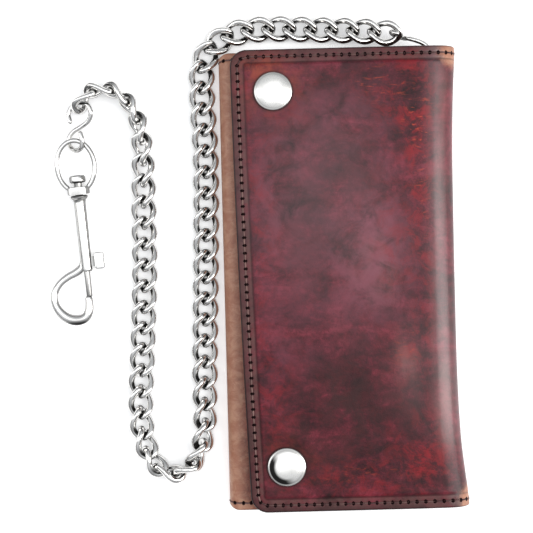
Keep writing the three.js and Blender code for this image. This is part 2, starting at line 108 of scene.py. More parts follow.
# ---------------------------------------------------------------- material helpers
class Nodes:
    """Shorthand for building one material's node tree."""

    def __init__(self, name):
        self.material = bpy.data.materials.new(name)
        self.material.use_nodes = True
        self.tree = self.material.node_tree
        self.shader = self.tree.nodes["Principled BSDF"]

    def node(self, kind, inputs=None, **settings):
        n = self.tree.nodes.new(kind)
        for key, value in settings.items():
            setattr(n, key, value)
        for key, value in (inputs or {}).items():
            self.set(n.inputs[key], value)
        return n

    def set(self, socket, value):
        if isinstance(value, bpy.types.NodeSocket):
            self.tree.links.new(value, socket)
        elif isinstance(value, (tuple, list)) and len(value) == 3 and socket.type == "RGBA":
            socket.default_value = (*value, 1)
        else:
            socket.default_value = value

    def principled(self, **inputs):
        for key, value in inputs.items():
            self.set(self.shader.inputs[key.replace("_", " ")], value)

    def math(self, operation, a, b, clamp=False):
        return self.node("ShaderNodeMath", {0: a, 1: b}, operation=operation, use_clamp=clamp).outputs[0]

    def add(self, a, b):
        return self.math("ADD", a, b)

    def times(self, a, b, clamp=False):
        return self.math("MULTIPLY", a, b, clamp)

    def mix(self, factor, a, b):
        return self.node("ShaderNodeMix", {"Factor": factor, 6: a, 7: b}, data_type="RGBA").outputs[2]

    def noise(self, vector, scale, detail=4.0, roughness=0.55, distortion=0.0):
        inputs = {"Vector": vector, "Scale": scale, "Detail": detail, "Roughness": roughness,
                  "Distortion": distortion}
        return self.node("ShaderNodeTexNoise", inputs).outputs["Fac"]

    def voronoi(self, vector, scale):
        return self.node("ShaderNodeTexVoronoi", {"Vector": vector, "Scale": scale}).outputs["Distance"]

    def ramp(self, factor, stops):
        n = self.node("ShaderNodeValToRGB", {"Fac": factor})
        elements = n.color_ramp.elements
        while len(elements) < len(stops):
            elements.new(0.5)
        for element, (place, colour) in zip(elements, stops):
            element.position, element.color = place, (*colour, 1)
        return n.outputs["Color"]

    def levels(self, factor, low, high):
        inputs = {"Value": factor, "From Min": low, "From Max": high}
        return self.node("ShaderNodeMapRange", inputs, interpolation_type="SMOOTHSTEP").outputs["Result"]

    def stretched(self, vector, scale, turn=0.0):
        inputs = {"Vector": vector, "Scale": scale, "Rotation": (0, 0, turn)}
        return self.node("ShaderNodeMapping", inputs).outputs["Vector"]

    def attribute(self, name, output="Fac"):
        return self.node("ShaderNodeAttribute", attribute_name=name).outputs[output]

    def bump(self, height, strength, distance, normal=None):
        inputs = {"Height": height, "Strength": strength, "Distance": distance}
        if normal is not None:
            inputs["Normal"] = normal
        return self.node("ShaderNodeBump", inputs).outputs["Normal"]


def srgb(code):
    """A #rrggbb colour as the linear numbers that a shader takes."""
    parts = [int(code[i:i + 2], 16) / 255 for i in (1, 3, 5)]
    return tuple(c / 12.92 if c <= 0.04045 else ((c + 0.055) / 1.055) ** 2.4 for c in parts)


def oxblood_material():
    """Waxed leather, with painted highlight and sheen in its colour. Attribute rest is the place on the flat pattern,
    in millimetres.
    """
    m = Nodes("oxblood_leather")
    place = m.attribute("rest", "Vector")
    cloud = m.noise(place, 0.045, 7, 0.62, 0.9)
    brush = m.noise(m.stretched(place, (0.05, 0.15, 1), 0.9), 1.0, 6, 0.62, 0.6)
    fleck = m.noise(place, 0.42, 8, 0.78, 0.4)
    tone = m.add(m.add(m.times(cloud, 0.4), m.times(brush, 0.3)), m.times(fleck, 0.3))
    base = m.ramp(tone, [(0.4, srgb("#18080b")), (0.47, srgb("#3a121a")), (0.53, srgb("#581c27")),
                         (0.6, srgb("#7a2d3b"))])
    # each layer: its attribute, colour and share, then its noise and the levels that the noise is cut at
    for name, colour, share, noise, low, high in (
            # the mauve layer is a tone that is partly painted sheen
            ("plum_and_sheen", "#763a48", 1, (place, 0.09, 5, 0.6, 0.6), 0.3, 0.65),
            ("gloom", "#34191b", 1, (m.stretched(place, (1, 1, 1), 0.4), 0.075, 6, 0.65, 0.8), 0.34, 0.58),
            ("red", "#821a22", 0.9, (place, 0.13, 8, 0.74, 0.5), 0.44, 0.66),
            # the mauve-grey layer is a painted highlight
            ("painted_highlight", "#8d6460", 1, (m.stretched(place, (0.12, 0.05, 1)), 1.0, 6, 0.65, 0.5), 0.25, 0.75),
            ("scuff", "#b8452c", 1, (m.stretched(place, (0.17, 0.62, 1), 0.35), 1.0, 6, 0.66, 0.5), 0.54, 0.68),
            ("border", "#5c3f3c", 1, (place, 0.2, 6, 0.7, 0.4), 0.2, 0.7),
            ("warm", "#8f4030", 1, (place, 0.22, 6, 0.7, 0.4), 0.3, 0.7)):
        amount = m.times(m.levels(m.noise(*noise), low, high), m.attribute(name), clamp=True)
        base = m.mix(m.times(amount, share), base, srgb(colour))
    worn = m.levels(m.add(m.attribute("worn"), m.times(m.math("SUBTRACT", fleck, 0.5), 0.7)), 0.2, 0.8)
    tan = m.mix(m.levels(m.noise(place, 0.25, 5, 0.7, 0.6), 0.35, 0.7), srgb("#a26c55"), srgb("#b98b72"))
    base = m.mix(worn, base, tan)
    # the near-black colour darkens burnished edges and creases, and paints shadow in a ring round each snap cap
    base = m.mix(m.attribute("burnish_and_shadow"), base, srgb("#1f0e10"))
    rough = m.add(m.add(0.36, m.times(fleck, 0.14)), m.times(worn, 0.12))
    pores = m.voronoi(place, 2.1)
    creases = m.noise(place, 0.9, 6, 0.65, 0.4)
    height = m.add(m.times(pores, 0.35), m.times(creases, 0.65))
    normal = m.bump(height, 0.4, 0.00012)
    normal = m.bump(m.noise(place, 0.12, 4, 0.6, 0.5), 0.5, 0.0005, normal)
    m.principled(Base_Color=base, Roughness=rough, Normal=normal)
    m.set(m.shader.inputs["Coat Weight"], m.times(m.attribute("polish"), 0.9, clamp=True))
    m.shader.inputs["Specular IOR Level"].default_value = 0.18
    m.shader.inputs["Coat Roughness"].default_value = 0.3
    return m.material


def flesh_material(name, light, dark, roughness, grain=0.6):
    """Plain leather with a matt, fibrous face."""
    m = Nodes(name)
    place = m.attribute("rest", "Vector")
    cloud = m.noise(place, 0.06, 6, 0.65, 0.5)
    fibre = m.noise(place, 1.4, 6, 0.75, 0.2)
    base = m.mix(m.levels(cloud, 0.3, 0.7), dark, light)
    base = m.mix(m.times(m.levels(fibre, 0.4, 0.7), 0.35), base, dark)
    base = m.mix(m.attribute("burnish_and_shadow"), base, tuple(c * 0.3 for c in dark))
    rough = m.add(roughness, m.times(fibre, 0.15))
    m.principled(Base_Color=base, Roughness=rough, Normal=m.bump(fibre, grain, 0.00015))
    m.shader.inputs["Specular IOR Level"].default_value = 0.25
    return m.material


def metal_material(name, colour, roughness):
    """Brushed, hazy metal. Attribute shade is painted shade: a near-black tint that also roughens the surface."""
    m = Nodes(name)
    place = m.node("ShaderNodeTexCoord").outputs["Object"]
    haze = m.noise(place, 180.0, 4, 0.6)
    fine = m.noise(m.stretched(place, (2500, 600, 600), 0.4), 1.0, 3, 0.6)
    rough = m.add(m.add(roughness, m.times(haze, 0.10)), m.times(fine, 0.05))
    tint = m.mix(haze, tuple(c * 0.9 for c in colour), colour)
    painted_shade = m.attribute("shade")
    tint = m.mix(painted_shade, tint, tuple(c * 0.025 for c in colour))
    rough = m.add(rough, m.times(painted_shade, 0.3))
    normal = m.bump(m.add(fine, m.times(haze, 2.0)), 0.25, 0.00001)
    m.principled(Base_Color=tint, Metallic=1.0, Roughness=rough, Normal=normal)
    return m.material


def thread_material():
    m = Nodes("waxed_thread")
    place = m.node("ShaderNodeTexCoord").outputs["Object"]
    inputs = {"Vector": place, "Scale": 1500.0, "Distortion": 1.0}
    twist = m.node("ShaderNodeTexWave", inputs, bands_direction="DIAGONAL").outputs["Fac"]
    light = m.mix(twist, srgb("#7a5450"), srgb("#b08e84"))
    dark = m.mix(twist, srgb("#2a1213"), srgb("#4a2426"))
    base = m.mix(m.attribute("pale"), dark, light)
    m.principled(Base_Color=base, Roughness=0.6, Normal=m.bump(twist, 0.5, 0.00008))
    return m.material


def hole_material():
    m = Nodes("stitch_hole")
    place = m.node("ShaderNodeTexCoord").outputs["Object"]
    # the near-black colour is painted shade inside the stitch holes
    base = m.mix(m.noise(place, 900.0), srgb("#0a0405"), srgb("#1c0b0c"))
    m.principled(Base_Color=base, Roughness=0.9)
    m.shader.inputs["Specular IOR Level"].default_value = 0.1
    return m.material


def floor_material():
    m = Nodes("floor")
    place = m.node("ShaderNodeTexCoord").outputs["Object"]
    tint = m.mix(m.noise(place, 3.0), (0.86, 0.86, 0.855), (0.9, 0.9, 0.9))
    m.principled(Base_Color=tint, Roughness=0.7)
    m.shader.inputs["Emission Color"].default_value = (1, 1, 1, 1)
    m.shader.inputs["Emission Strength"].default_value = 0.42
    return m.material


OXBLOOD = oxblood_material()
LINING = flesh_material("lining_leather", srgb("#a5734c"), srgb("#7a4a2e"), 0.7)
CARD = flesh_material("card_leather", srgb("#5a2c26"), srgb("#37191a"), 0.5, 0.3)
NICKEL = metal_material("nickel", (0.86, 0.85, 0.83), 0.07)
SATIN = metal_material("satin_nickel", (0.84, 0.83, 0.8), 0.2)
STEEL = metal_material("plain_steel", (0.55, 0.55, 0.54), 0.3)
THREAD = thread_material()
HOLE = hole_material()


# ---------------------------------------------------------------- mesh helpers
def make(name, vertices, faces, material, attributes=None, flat_faces=()):
    mesh = bpy.data.meshes.new(name)
    mesh.from_pydata((np.asarray(vertices, float) * MM).tolist(), [], [tuple(map(int, f)) for f in faces])
    smooth = np.ones(len(mesh.polygons), bool)
    smooth[list(flat_faces)] = False
    mesh.polygons.foreach_set("use_smooth", smooth)
    for key, values in (attributes or {}).items():
        values = np.asarray(values, np.float32)
        kind = "FLOAT_VECTOR" if values.ndim == 2 else "FLOAT"
        attribute = mesh.attributes.new(key, kind, "POINT")
        attribute.data.foreach_set("vector" if values.ndim == 2 else "value", values.ravel())
    mesh.update()
    mesh.materials.append(material)
    obj = bpy.data.objects.new(name, mesh)
    bpy.context.scene.collection.objects.link(obj)
    return obj


def place(obj, body, slot, *nodes):
    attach(obj, body)
    if nodes:
        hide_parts(*nodes)
    return obj


def smoothstep(t):
    t = np.clip(t, 0, 1)
    return t * t * (3 - 2 * t)


class Gather:
    """Collects many small solids into one mesh."""

    def __init__(self):
        self.vertices, self.faces, self.count, self.values = [], [], 0, {}

    def add(self, vertices, faces, **values):
        self.vertices.append(np.asarray(vertices, float))
        self.faces += [[i + self.count for i in f] for f in faces]
        self.count += len(vertices)
        for key, value in values.items():
            self.values.setdefault(key, []).append(np.full(len(vertices), value))

    def made(self, name, material):
        attributes = {k: np.concatenate(v) for k, v in self.values.items()}
        return make(name, np.concatenate(self.vertices), self.faces, material, attributes)


def lathe(profile, segments=64, closed=False):
    """A turned solid about +Z from [radius, height] points. It ends on the axis unless it is closed."""
    profile = np.asarray(profile, float)
    angles = np.linspace(0, 2 * np.pi, segments, endpoint=False)
    vertices, rings = [], []
    for r, z in profile:
        if r < 1e-6:
            rings.append([len(vertices)])
            vertices.append((0, 0, z))
        else:
            rings.append(list(range(len(vertices), len(vertices) + segments)))
            vertices += [(r * math.cos(a), r * math.sin(a), z) for a in angles]
    pairs = list(zip(rings, rings[1:]))
    if closed:
        pairs.append((rings[-1], rings[0]))
    faces = []
    for a, b in pairs:
        for i in range(segments):
            k = (i + 1) % segments
            if len(a) == 1 and len(b) == 1:
                continue
            if len(a) == 1:
                faces.append((a[0], b[k], b[i]))
            elif len(b) == 1:
                faces.append((a[i], a[k], b[0]))
            else:
                faces.append((a[i], a[k], b[k], b[i]))
    return np.array(vertices, float), faces


def bands(rings, around):
    """The faces between rings of this many points each."""
    faces = []
    for k in range(rings - 1):
        for i in range(around):
            n = (i + 1) % around
            faces.append((k * around + i, k * around + n, (k + 1) * around + n, (k + 1) * around + i))
    return faces


def outward(vertices, faces):
    """Turns the faces round if the solid they close is inside out."""
    volume = 0.0
    for f in faces:
        a = vertices[f[0]]
        for b, c in zip(f[1:], f[2:]):
            volume += np.dot(a, np.cross(vertices[b], vertices[c]))
    return faces if volume > 0 else [tuple(reversed(f)) for f in faces]


def rounded(profile, radius, steps=4):
    """The same profile with its inner corners rounded."""
    points = [np.asarray(p, float) for p in profile]
    out = [points[0]]
    for before, at, after in zip(points, points[1:], points[2:]):
        one, two = before - at, after - at
        r = min(radius, 0.45 * np.linalg.norm(one), 0.45 * np.linalg.norm(two))
        start = at + one / np.linalg.norm(one) * r
        end = at + two / np.linalg.norm(two) * r
        for t in np.linspace(0, 1, steps):
            out.append((1 - t) ** 2 * start + 2 * t * (1 - t) * at + t * t * end)
    return [*out, points[-1]]


def tube(path, radius, sides, flatten=1.0):
    """A solid round wire along a path with rounded ends. The radius is one number or one for each point."""
    path = np.asarray(path, float)
    radius = np.broadcast_to(np.asarray(radius, float), len(path)).copy()
    tangent = np.gradient(path, axis=0)
    tangent /= np.linalg.norm(tangent, axis=1)[:, None]
    bulge = np.sin(np.linspace(0, np.pi / 2, 6))[1:]
    shrink = np.cos(np.linspace(0, np.pi / 2, 6))[1:]
    head = [path[0] - tangent[0] * radius[0] * b for b in bulge][::-1]
    tail = [path[-1] + tangent[-1] * radius[-1] * b for b in bulge]
    path = np.vstack([head, path, tail])
    tangent = np.vstack([[tangent[0]] * 5, tangent, [tangent[-1]] * 5])
    radius = np.concatenate([radius[0] * shrink[::-1], radius, radius[-1] * shrink])
    radius[[0, -1]] = 0.02
    side = np.cross(tangent[0], (0, 0, 1.0))
    if np.linalg.norm(side) < 1e-3:
        side = np.cross(tangent[0], (0, 1.0, 0))
    frames = []
    for t in tangent:
        side = side - t * np.dot(side, t)
        side /= np.linalg.norm(side)
        frames.append((side, np.cross(t, side)))
    angles = np.linspace(0, 2 * np.pi, sides, endpoint=False)
    vertices = np.vstack([p + r * (np.outer(np.cos(angles), a) + flatten * np.outer(np.sin(angles), b))
                          for p, r, (a, b) in zip(path, radius, frames)])
    last = (len(path) - 1) * sides
    ends = [tuple(reversed(range(sides))), tuple(range(last, last + sides))]
    return vertices, outward(vertices, bands(len(path), sides) + ends)


class Curve:
    """The centripetal Catmull-Rom curve through some points, as the CAD part draws it."""

    def __init__(self, points, samples=2000):
        self.points = np.asarray(points, float)
        t = np.linspace(0, 1, samples + 1)
        self.line = np.array([self.at(x) for x in t])
        steps = np.linalg.norm(np.diff(self.line, axis=0), axis=1)
        self.travelled = np.concatenate([[0], np.cumsum(steps)])

    def at(self, t):
        pts, count = self.points, len(self.points)
        k = min(int((count - 1) * t), count - 2)
        w = (count - 1) * t - k
        p1, p2 = pts[k], pts[k + 1]
        p0 = pts[k - 1] if k > 0 else 2 * pts[0] - pts[1]
        p3 = pts[k + 2] if k + 2 < count else 2 * pts[-1] - pts[-2]
        d0, d1, d2 = (np.sqrt(np.linalg.norm(b - a)) for a, b in ((p0, p1), (p1, p2), (p2, p3)))
        t1 = ((p1 - p0) / d0 - (p2 - p0) / (d0 + d1) + (p2 - p1) / d1) * d1
        t2 = ((p2 - p1) / d1 - (p3 - p1) / (d1 + d2) + (p3 - p2) / d2) * d1
        return p1 + t1 * w + (-3 * p1 + 3 * p2 - 2 * t1 - t2) * w ** 2 + (2 * p1 - 2 * p2 + t1 + t2) * w ** 3

    def even(self, shares):
        """Points at these shares of the whole length."""
        s = np.asarray(shares) * self.travelled[-1]
        return np.stack([np.interp(s, self.travelled, self.line[:, k]) for k in range(self.line.shape[1])], 1)


# ---------------------------------------------------------------- floor
FLOOR = 6000  # half its side
corners = [(-FLOOR, -FLOOR, 0), (FLOOR, -FLOOR, 0), (FLOOR, FLOOR, 0), (-FLOOR, FLOOR, 0)]
floor = make("floor", corners, [(0, 1, 2, 3)], floor_material())
floor.location.z = -0.02 * MM  # just clear of the leather

# ---------------------------------------------------------------- cover leather
HALF = 90.5  # half the wallet's length
HIDE = 1.0  # half the leather's thickness
RIM = 0.75  # radius of a burnished edge, along the leather
FLAP_Z, PANEL_Z, BACK_Z = 17.2, 8.6, 1.0  # middle heights of the flap, the inner panel and the back
SPINE_X, SPINE_Z, SPINE_R = 37.0, 9.1, 8.1  # the spine's round bend
FOLD_X, FOLD_Z, FOLD_R = -41.2, 4.8, 3.8  # the fold from the back to the inner panel
PANEL_END = 40.0
QUARTER = SPINE_R * np.pi / 2  # length of leather in a quarter of the bend
FLAP_RIGHT = SPINE_X + QUARTER
FLAP_CORNER = 6.5
STITCH_INSET = 2.9
CREASE_INSET = 5.3
STITCH_PITCH = 3.05
SNAPS = {"top": (-24.7, 73.9), "bottom": (-23.1, -72.6)}


def flare(y):
    """How far the spine stands out of its CAD place along the wallet: its ends spring open a little."""
    stations = [-90.5, -84, -72, -61, -40, -21, 10, 50, 72, 84, 90.5]
    outs = [3.0, 2.3, 0.7, -0.2, -0.8, -0.9, -0.8, -0.5, 0.3, 1.2, 1.5]
    fine = np.linspace(-HALF, HALF, 400)
    soft = np.convolve(np.pad(np.interp(fine, stations, outs), 20, mode="edge"), np.ones(41) / 41, "valid")
    return np.interp(y, fine, soft)


def spread(x, y):
    """x moved out by the flare, near the spine only."""
    return x + flare(y) * smoothstep((x - 22) / 22)


def flap_section(u, y, h):
    """A point of the flap: u is x on the flat and then runs round the spine, h is the height in the leather."""
    angle = np.clip((u - SPINE_X) / SPINE_R, 0, None)
    bent = u > SPINE_X
    x = np.where(bent, SPINE_X + (SPINE_R + h) * np.sin(angle), u)
    z = np.where(bent, SPINE_Z + (SPINE_R + h) * np.cos(angle), FLAP_Z + h)
    return x, z


def flap_left(y):
    """The flap's free edge."""
    return -39.92 - 0.0237 * y + 8.0e-5 * y ** 2


def flap_inset(u, y):
    """Distance in from the flap's free edges."""
    side, end = u - flap_left(y), HALF - np.abs(y)
    corner = FLAP_CORNER - np.hypot(np.minimum(side - FLAP_CORNER, 0), np.minimum(end - FLAP_CORNER, 0))
    return np.where((side < FLAP_CORNER) & (end < FLAP_CORNER), corner, np.minimum(side, end))


def path_along(points, pitch, start):
    """Evenly spaced places along a polyline."""
    points = np.asarray(points, float)
    steps = np.linalg.norm(np.diff(points, axis=0), axis=1)
    travelled = np.concatenate([[0], np.cumsum(steps)])
    s = np.arange(start, travelled[-1], pitch)
    return np.stack([np.interp(s, travelled, points[:, k]) for k in range(2)], 1)


def flap_line(inset, right, arc_points, side_points):
    """The flap's outline moved in by inset, from its top right end round the free edge to its bottom right end."""
    r = FLAP_CORNER - inset
    end = HALF - inset
    ty = end - r
    arc = np.linspace(0, np.pi / 2, arc_points)
    top = [(flap_left(ty) + FLAP_CORNER - r * math.sin(a), ty + r * math.cos(a)) for a in arc]
    side = [(flap_left(y) + inset, y) for y in np.linspace(ty, -ty, side_points)[1:-1]]
    bottom = [(flap_left(-ty) + FLAP_CORNER - r * math.cos(a), -ty - r * math.sin(a)) for a in arc]
    return [(right, end), *top, *side, *bottom, (right, -end)]


FLAP_HOLES = path_along(flap_line(STITCH_INSET, FLAP_RIGHT - 0.6, 12, 60), STITCH_PITCH, 0.9)


def hills(u, y):
    """The slow rise and fall of hand-worked leather."""
    return (0.16 * np.sin(u * 0.11 + 0.6 * np.sin(y * 0.05)) * np.sin(y * 0.07 + 0.8)
            + 0.10 * np.sin(u * 0.05 - y * 0.083 + 1.7) + 0.06 * np.sin(u * 0.23 + y * 0.19))


def dimples(u, y, holes):
    """How deep the leather is drawn in at each stitch hole."""
    depth = np.zeros(np.shape(u))
    for hu, hy in holes:
        near = (np.abs(u - hu) < 2) & (np.abs(y - hy) < 2)
        depth[near] += 0.26 * np.exp(-((u[near] - hu) ** 2 + (y[near] - hy) ** 2) / 0.35)
    return depth


PATTERN_ORIGIN = np.array([413.7, 271.3, 0])  # keeps the noise away from its own origin, where it shows rings


def grid_solid(U, Y, boundary, surface):
    """A closed sheet on a grid. The boundary lists (row, column, outward direction) round the free edges,
    from one end of the cut edge to the other; surface(u, y, h) gives the points."""
    rows, cols = U.shape
    index = np.arange(rows * cols).reshape(rows, cols)
    pattern = [np.column_stack([U.ravel(), Y.ravel(), np.full(U.size, h)]) for h in (HIDE, -HIDE)]
    vertices = [surface(*p.T) for p in pattern]
    a, b = index[:-1, :-1].ravel(), index[:-1, 1:].ravel()
    c, d = index[1:, 1:].ravel(), index[1:, :-1].ravel()
    faces = [*zip(a, b, c, d), *zip(d + U.size, c + U.size, b + U.size, a + U.size)]
    us = np.array([U[i, j] for i, j, _ in boundary])
    ys = np.array([Y[i, j] for i, j, _ in boundary])
    out = np.array([n for _, _, n in boundary], float)
    loops = [[index[i, j] for i, j, _ in boundary]]
    count = 2 * U.size
    for angle in np.linspace(0, np.pi, 8)[1:-1]:
        u, y = us + out[:, 0] * RIM * math.sin(angle), ys + out[:, 1] * RIM * math.sin(angle)
        h = np.full(len(us), HIDE * math.cos(angle))
        vertices.append(surface(u, y, h))
        pattern.append(np.column_stack([u, y, h]))
        loops.append(list(range(count, count + len(us))))
        count += len(us)
    loops.append([index[i, j] + U.size for i, j, _ in boundary])
    for one, two in zip(loops, loops[1:]):
        for k in range(len(one) - 1):
            faces.append((one[k], one[k + 1], two[k + 1], two[k]))
    flat = list(range(len(faces), len(faces) + rows + 1))  # the faces of the cut edge
    side = index[:, boundary[0][1]]
    faces += [(side[i], side[i + 1], side[i + 1] + U.size, side[i] + U.size) for i in range(rows - 1)]
    faces += [tuple(loop[end] for loop in loops) for end in (0, -1)]
    return np.vstack(vertices), faces, flat, np.vstack(pattern)


def consistent(obj):
    """Makes every face of a closed piece look outwards."""
    bm = bmesh.new()
    bm.from_mesh(obj.data)
    bmesh.ops.remove_doubles(bm, verts=bm.verts, dist=1e-7)
    bmesh.ops.recalc_face_normals(bm, faces=bm.faces)
    bm.to_mesh(obj.data)
    bm.free()
    obj.data.update()
    return obj


def blob(u, y, at, size):
    """A soft oval spot, 1 at its middle."""
    return np.exp(-((u - at[0]) / size[0]) ** 2 - ((y - at[1]) / size[1]) ** 2)


def blobs(u, y, *spots):
    """A sum of soft spots, each (strength, x, y, half width, half length)."""
    return sum(k * blob(u, y, (x0, y0), (wide, long)) for k, x0, y0, wide, long in spots)


def flap_surface(u, y, h):
    """The flap as it lies: pressed border, creased line, stitched trench, and soft fullness between."""
    inset = flap_inset(u, y)
    press = 0.42 * (1 - smoothstep((inset - CREASE_INSET + 0.7) / 1.6)) * (u < SPINE_X + 3)
    groove = 0.22 * np.exp(-((inset - CREASE_INSET) / 0.4) ** 2) * (np.abs(y) < HALF)
    trench = 0.10 * np.exp(-((inset - STITCH_INSET) / 0.6) ** 2)
    fill = 0.45 * (1 - (u / 60) ** 2) * (1 - (y / 100) ** 2)
    rise = fill - press + hills(u, y) * smoothstep((inset - 3) / 6)
    for x0, y0 in SNAPS.values():
        d = np.hypot(u - x0, y - y0)
        rise = rise * smoothstep((d - 6.5) / 7) - 0.18 * np.exp(-((d - 8) / 2.2) ** 2)
    top = np.clip(h, 0, 1)
    rise = rise - top * (groove + trench + dimples(u, y, FLAP_HOLES))
    rise = rise * (1 - smoothstep((u - 30) / 20))
    rise = rise - 0.5 * smoothstep((u - 24) / 16) * (1 - smoothstep((u - 41) / 8))
    x, z = flap_section(u, y, h)
    angle = np.clip((u - SPINE_X) / SPINE_R, 0, None)
    return np.column_stack([spread(x + rise * np.sin(angle), y), y, z + rise * np.cos(angle)])


def flap_skin():
    straight = HALF - FLAP_CORNER
    r = FLAP_CORNER - RIM
    arc = straight + r * np.sin(np.linspace(0, np.pi / 2, 16))[1:]
    ys = np.concatenate([-arc[::-1], np.linspace(-straight, straight, int(2 * straight / 0.5)), arc])
    near = np.concatenate([np.arange(0, 7, 0.35), [7.0]])
    flat_share = np.linspace(0, 1, 122)[1:]
    rows = []
    for y in ys:
        over = max(abs(y) - straight, 0)
        reach = math.sqrt(max(r * r - over * over, 0)) if over > 0 else r
        start = flap_left(y) + FLAP_CORNER - reach + near
        flat = start[-1] + (SPINE_X - start[-1]) * flat_share
        bend = np.linspace(SPINE_X, FLAP_RIGHT, 27)[1:]
        rows.append(np.concatenate([start, flat, bend]))
    U = np.array(rows)
    Y = np.repeat(ys[:, None], U.shape[1], 1)
    last = U.shape[1] - 1
    boundary = [(len(ys) - 1, j, (0, 1)) for j in range(last, 0, -1)]
    for i in range(len(ys) - 1, -1, -1):
        y = ys[i]
        n = np.array([-1.0, 0.0])
        if abs(y) > straight:
            n = np.array([U[i, 0] - flap_left(y) - FLAP_CORNER, y - math.copysign(straight, y)])
            n /= np.linalg.norm(n)
        boundary.append((i, 0, tuple(n)))
    boundary += [(0, j, (0, -1)) for j in range(1, last + 1)]

    vertices, faces, flat, pattern = grid_solid(U, Y, boundary, flap_surface)
    u, y, h = pattern.T
    inset = flap_inset(u, y)
    # the rim, the crease, the border, the inside, the free edge's lower end, and painted shadow in a ring round each
    # snap cap
    burnish_and_shadow = np.clip(1 - inset / 0.75, 0, 1) + 0.55 * np.exp(-((inset - CREASE_INSET) / 0.35) ** 2)
    burnish_and_shadow += 0.1 * (1 - smoothstep((inset - 0.6) / 5)) + 0.8 * (h < -0.5)
    burnish_and_shadow += 0.4 * (1 - smoothstep((inset - 0.5) / 2.6)) * (0.35 + 0.65 * smoothstep((-y - 30) / 40)) * (u < 30)
    for x0, y0 in SNAPS.values():
        burnish_and_shadow += 0.7 * np.exp(-((np.hypot(u - x0, y - y0) - 7.6) / 0.5) ** 2)
    fade = 1 - 0.75 * smoothstep((-y - 56) / 16)
    seam = np.exp(-((u - FLAP_RIGHT) / 7) ** 2)
    short_of_ends = 1 - smoothstep((np.abs(y) - 76) / 10)
    # band is the painted highlight along the start of the spine's bend
    band = 0.5 * np.exp(-((u - 39.6 - 0.012 * y) / 3.6) ** 2) * fade * (0.55 + 0.45 * smoothstep((20 - y) / 60))
    glow = fade * np.exp(-((u - 39.6 + 0.02 * y) / (3.8 + 1.2 * smoothstep((10 - y) / 60))) ** 2)
    looks = {
        "rest": pattern + PATTERN_ORIGIN,
        "burnish_and_shadow": np.clip(burnish_and_shadow, 0, 1),
        "red": 0.1 + blobs(
            u, y, (0.7, 24, 70, 12, 16), (1, 32, 48, 6, 34), (0.45, 33, -5, 5, 34), (0.5, 40, 86, 16, 4),
            (0.65, 2, -78, 26, 7), (0.9, 31, -70, 12, 14), (0.6, 26, -30, 8, 9), (0.5, -32, 20, 6, 50),
            (0.6, -24, 76, 13, 12), (0.45, -28, -50, 9, 22), (0.4, 20, 14, 9, 22)),
        "gloom": 0.08 + blobs(
            u, y, (0.9, 4, -46, 25, 20), (0.4, -2, 60, 17, 14), (0.4, -14, 22, 12, 24), (0.45, 8, 44, 12, 16),
            (0.3, 30, -52, 7, 20), (0.4, -6, -70, 16, 10)),
        # mauve patches, partly painted sheen where the flap's middle and upper half would gloss
        "plum_and_sheen": blobs(
            u, y, (0.8, -24, 30, 13, 36), (0.9, 9, 6, 21, 24), (0.45, -22, -28, 12, 14), (0.6, 14, 30, 10, 34),
            (0.6, -4, 64, 22, 20)),
        "scuff": blobs(
            u, y, (1, 31, 62, 5, 9), (0.7, 33.5, 44, 3, 20), (0.5, 18, 76, 11, 6), (0.5, -25, 79, 9, 7),
            (0.5, 25, -28, 4, 7), (0.3, 6, -76, 18, 6)),
        "worn": blobs(
            u, y, (1.1, 45, 88, 6, 6), (1.2, 48, -89, 6.5, 7), (0.3, 50, 60, 3, 30), (0.3, 51, -40, 3, 60)),
        # painted highlight: the band on the bend, a faint line along the spine's middle, and two highlight patches on
        # the flat
        "painted_highlight": (band + 0.12 * seam) * short_of_ends + blobs(u, y, (0.45, 24, -33, 5, 10), (0.25, 14, 4, 9, 12)),
        "polish": glow + 0.35 * seam + blobs(
            u, y, (0.6, -8, 34, 30, 44), (0.25, 12, 8, 12, 26), (0.45, 27, -36, 8, 20)),
        "border": 0.85 * (1 - smoothstep((inset - CREASE_INSET + 0.5) / 0.9)) * (u < 60),
        "warm": blobs(u, y, (0.9, -25.5, 76, 10.5, 9.5), (0.5, -31, 84, 7, 4), (0.3, -23, -70, 10, 9)),
    }
    obj = make("cover_flap_leather", vertices, faces, OXBLOOD, looks, flat)
    return consistent(obj)


# distances along the other half of the leather, from the inner panel's end
FOLD_FROM = PANEL_END - FOLD_X
BACK_FROM = FOLD_FROM + FOLD_R * np.pi
BEND_FROM = BACK_FROM + SPINE_X - FOLD_X
BACK_TOTAL = BEND_FROM + QUARTER


def back_section(u, h):
    """A point of the other half: u runs from the inner panel's end, round the fold, under and up the spine."""
    fold = np.clip((u - FOLD_FROM) / FOLD_R, 0, np.pi)
    bend = np.clip((u - BEND_FROM) / SPINE_R, 0, None)
    part = [u > BEND_FROM, u > BACK_FROM, u < FOLD_FROM]
    x = np.select(part, [SPINE_X + (SPINE_R + h) * np.sin(bend), FOLD_X + u - BACK_FROM, PANEL_END - u],
                  FOLD_X - (FOLD_R + h) * np.sin(fold))
    z = np.select(part, [SPINE_Z - (SPINE_R + h) * np.cos(bend), BACK_Z - h, PANEL_Z + h],
                  FOLD_Z + (FOLD_R + h) * np.cos(fold))
    return x, z


def tuck(x, y):
    """Rounds the folded edge's two corners in plan."""
    along = np.clip((-42.0 - x) / 4.6, 0, 0.999)
    over = np.maximum(np.abs(y) - 86.5, 0)
    return np.sign(y) * (np.abs(y) - over * (1 - np.sqrt(1 - along ** 2)))


def back_surface(u, y, h, holes=()):
    dent = 0.10 * np.exp(-((HALF - np.abs(y) - STITCH_INSET) / 0.6) ** 2)
    x, z = back_section(u, h - np.clip(h, 0, 1) * (dent + dimples(u, y, holes)))
    return np.column_stack([spread(x, y), tuck(x, y), z])


BACK_HOLES = np.array([(u, side * (HALF - STITCH_INSET)) for side in (1, -1)
                       for u in np.arange(1.2, BACK_TOTAL - 0.6, STITCH_PITCH)])


LONG = 1e6  # a spot this long is an even strip


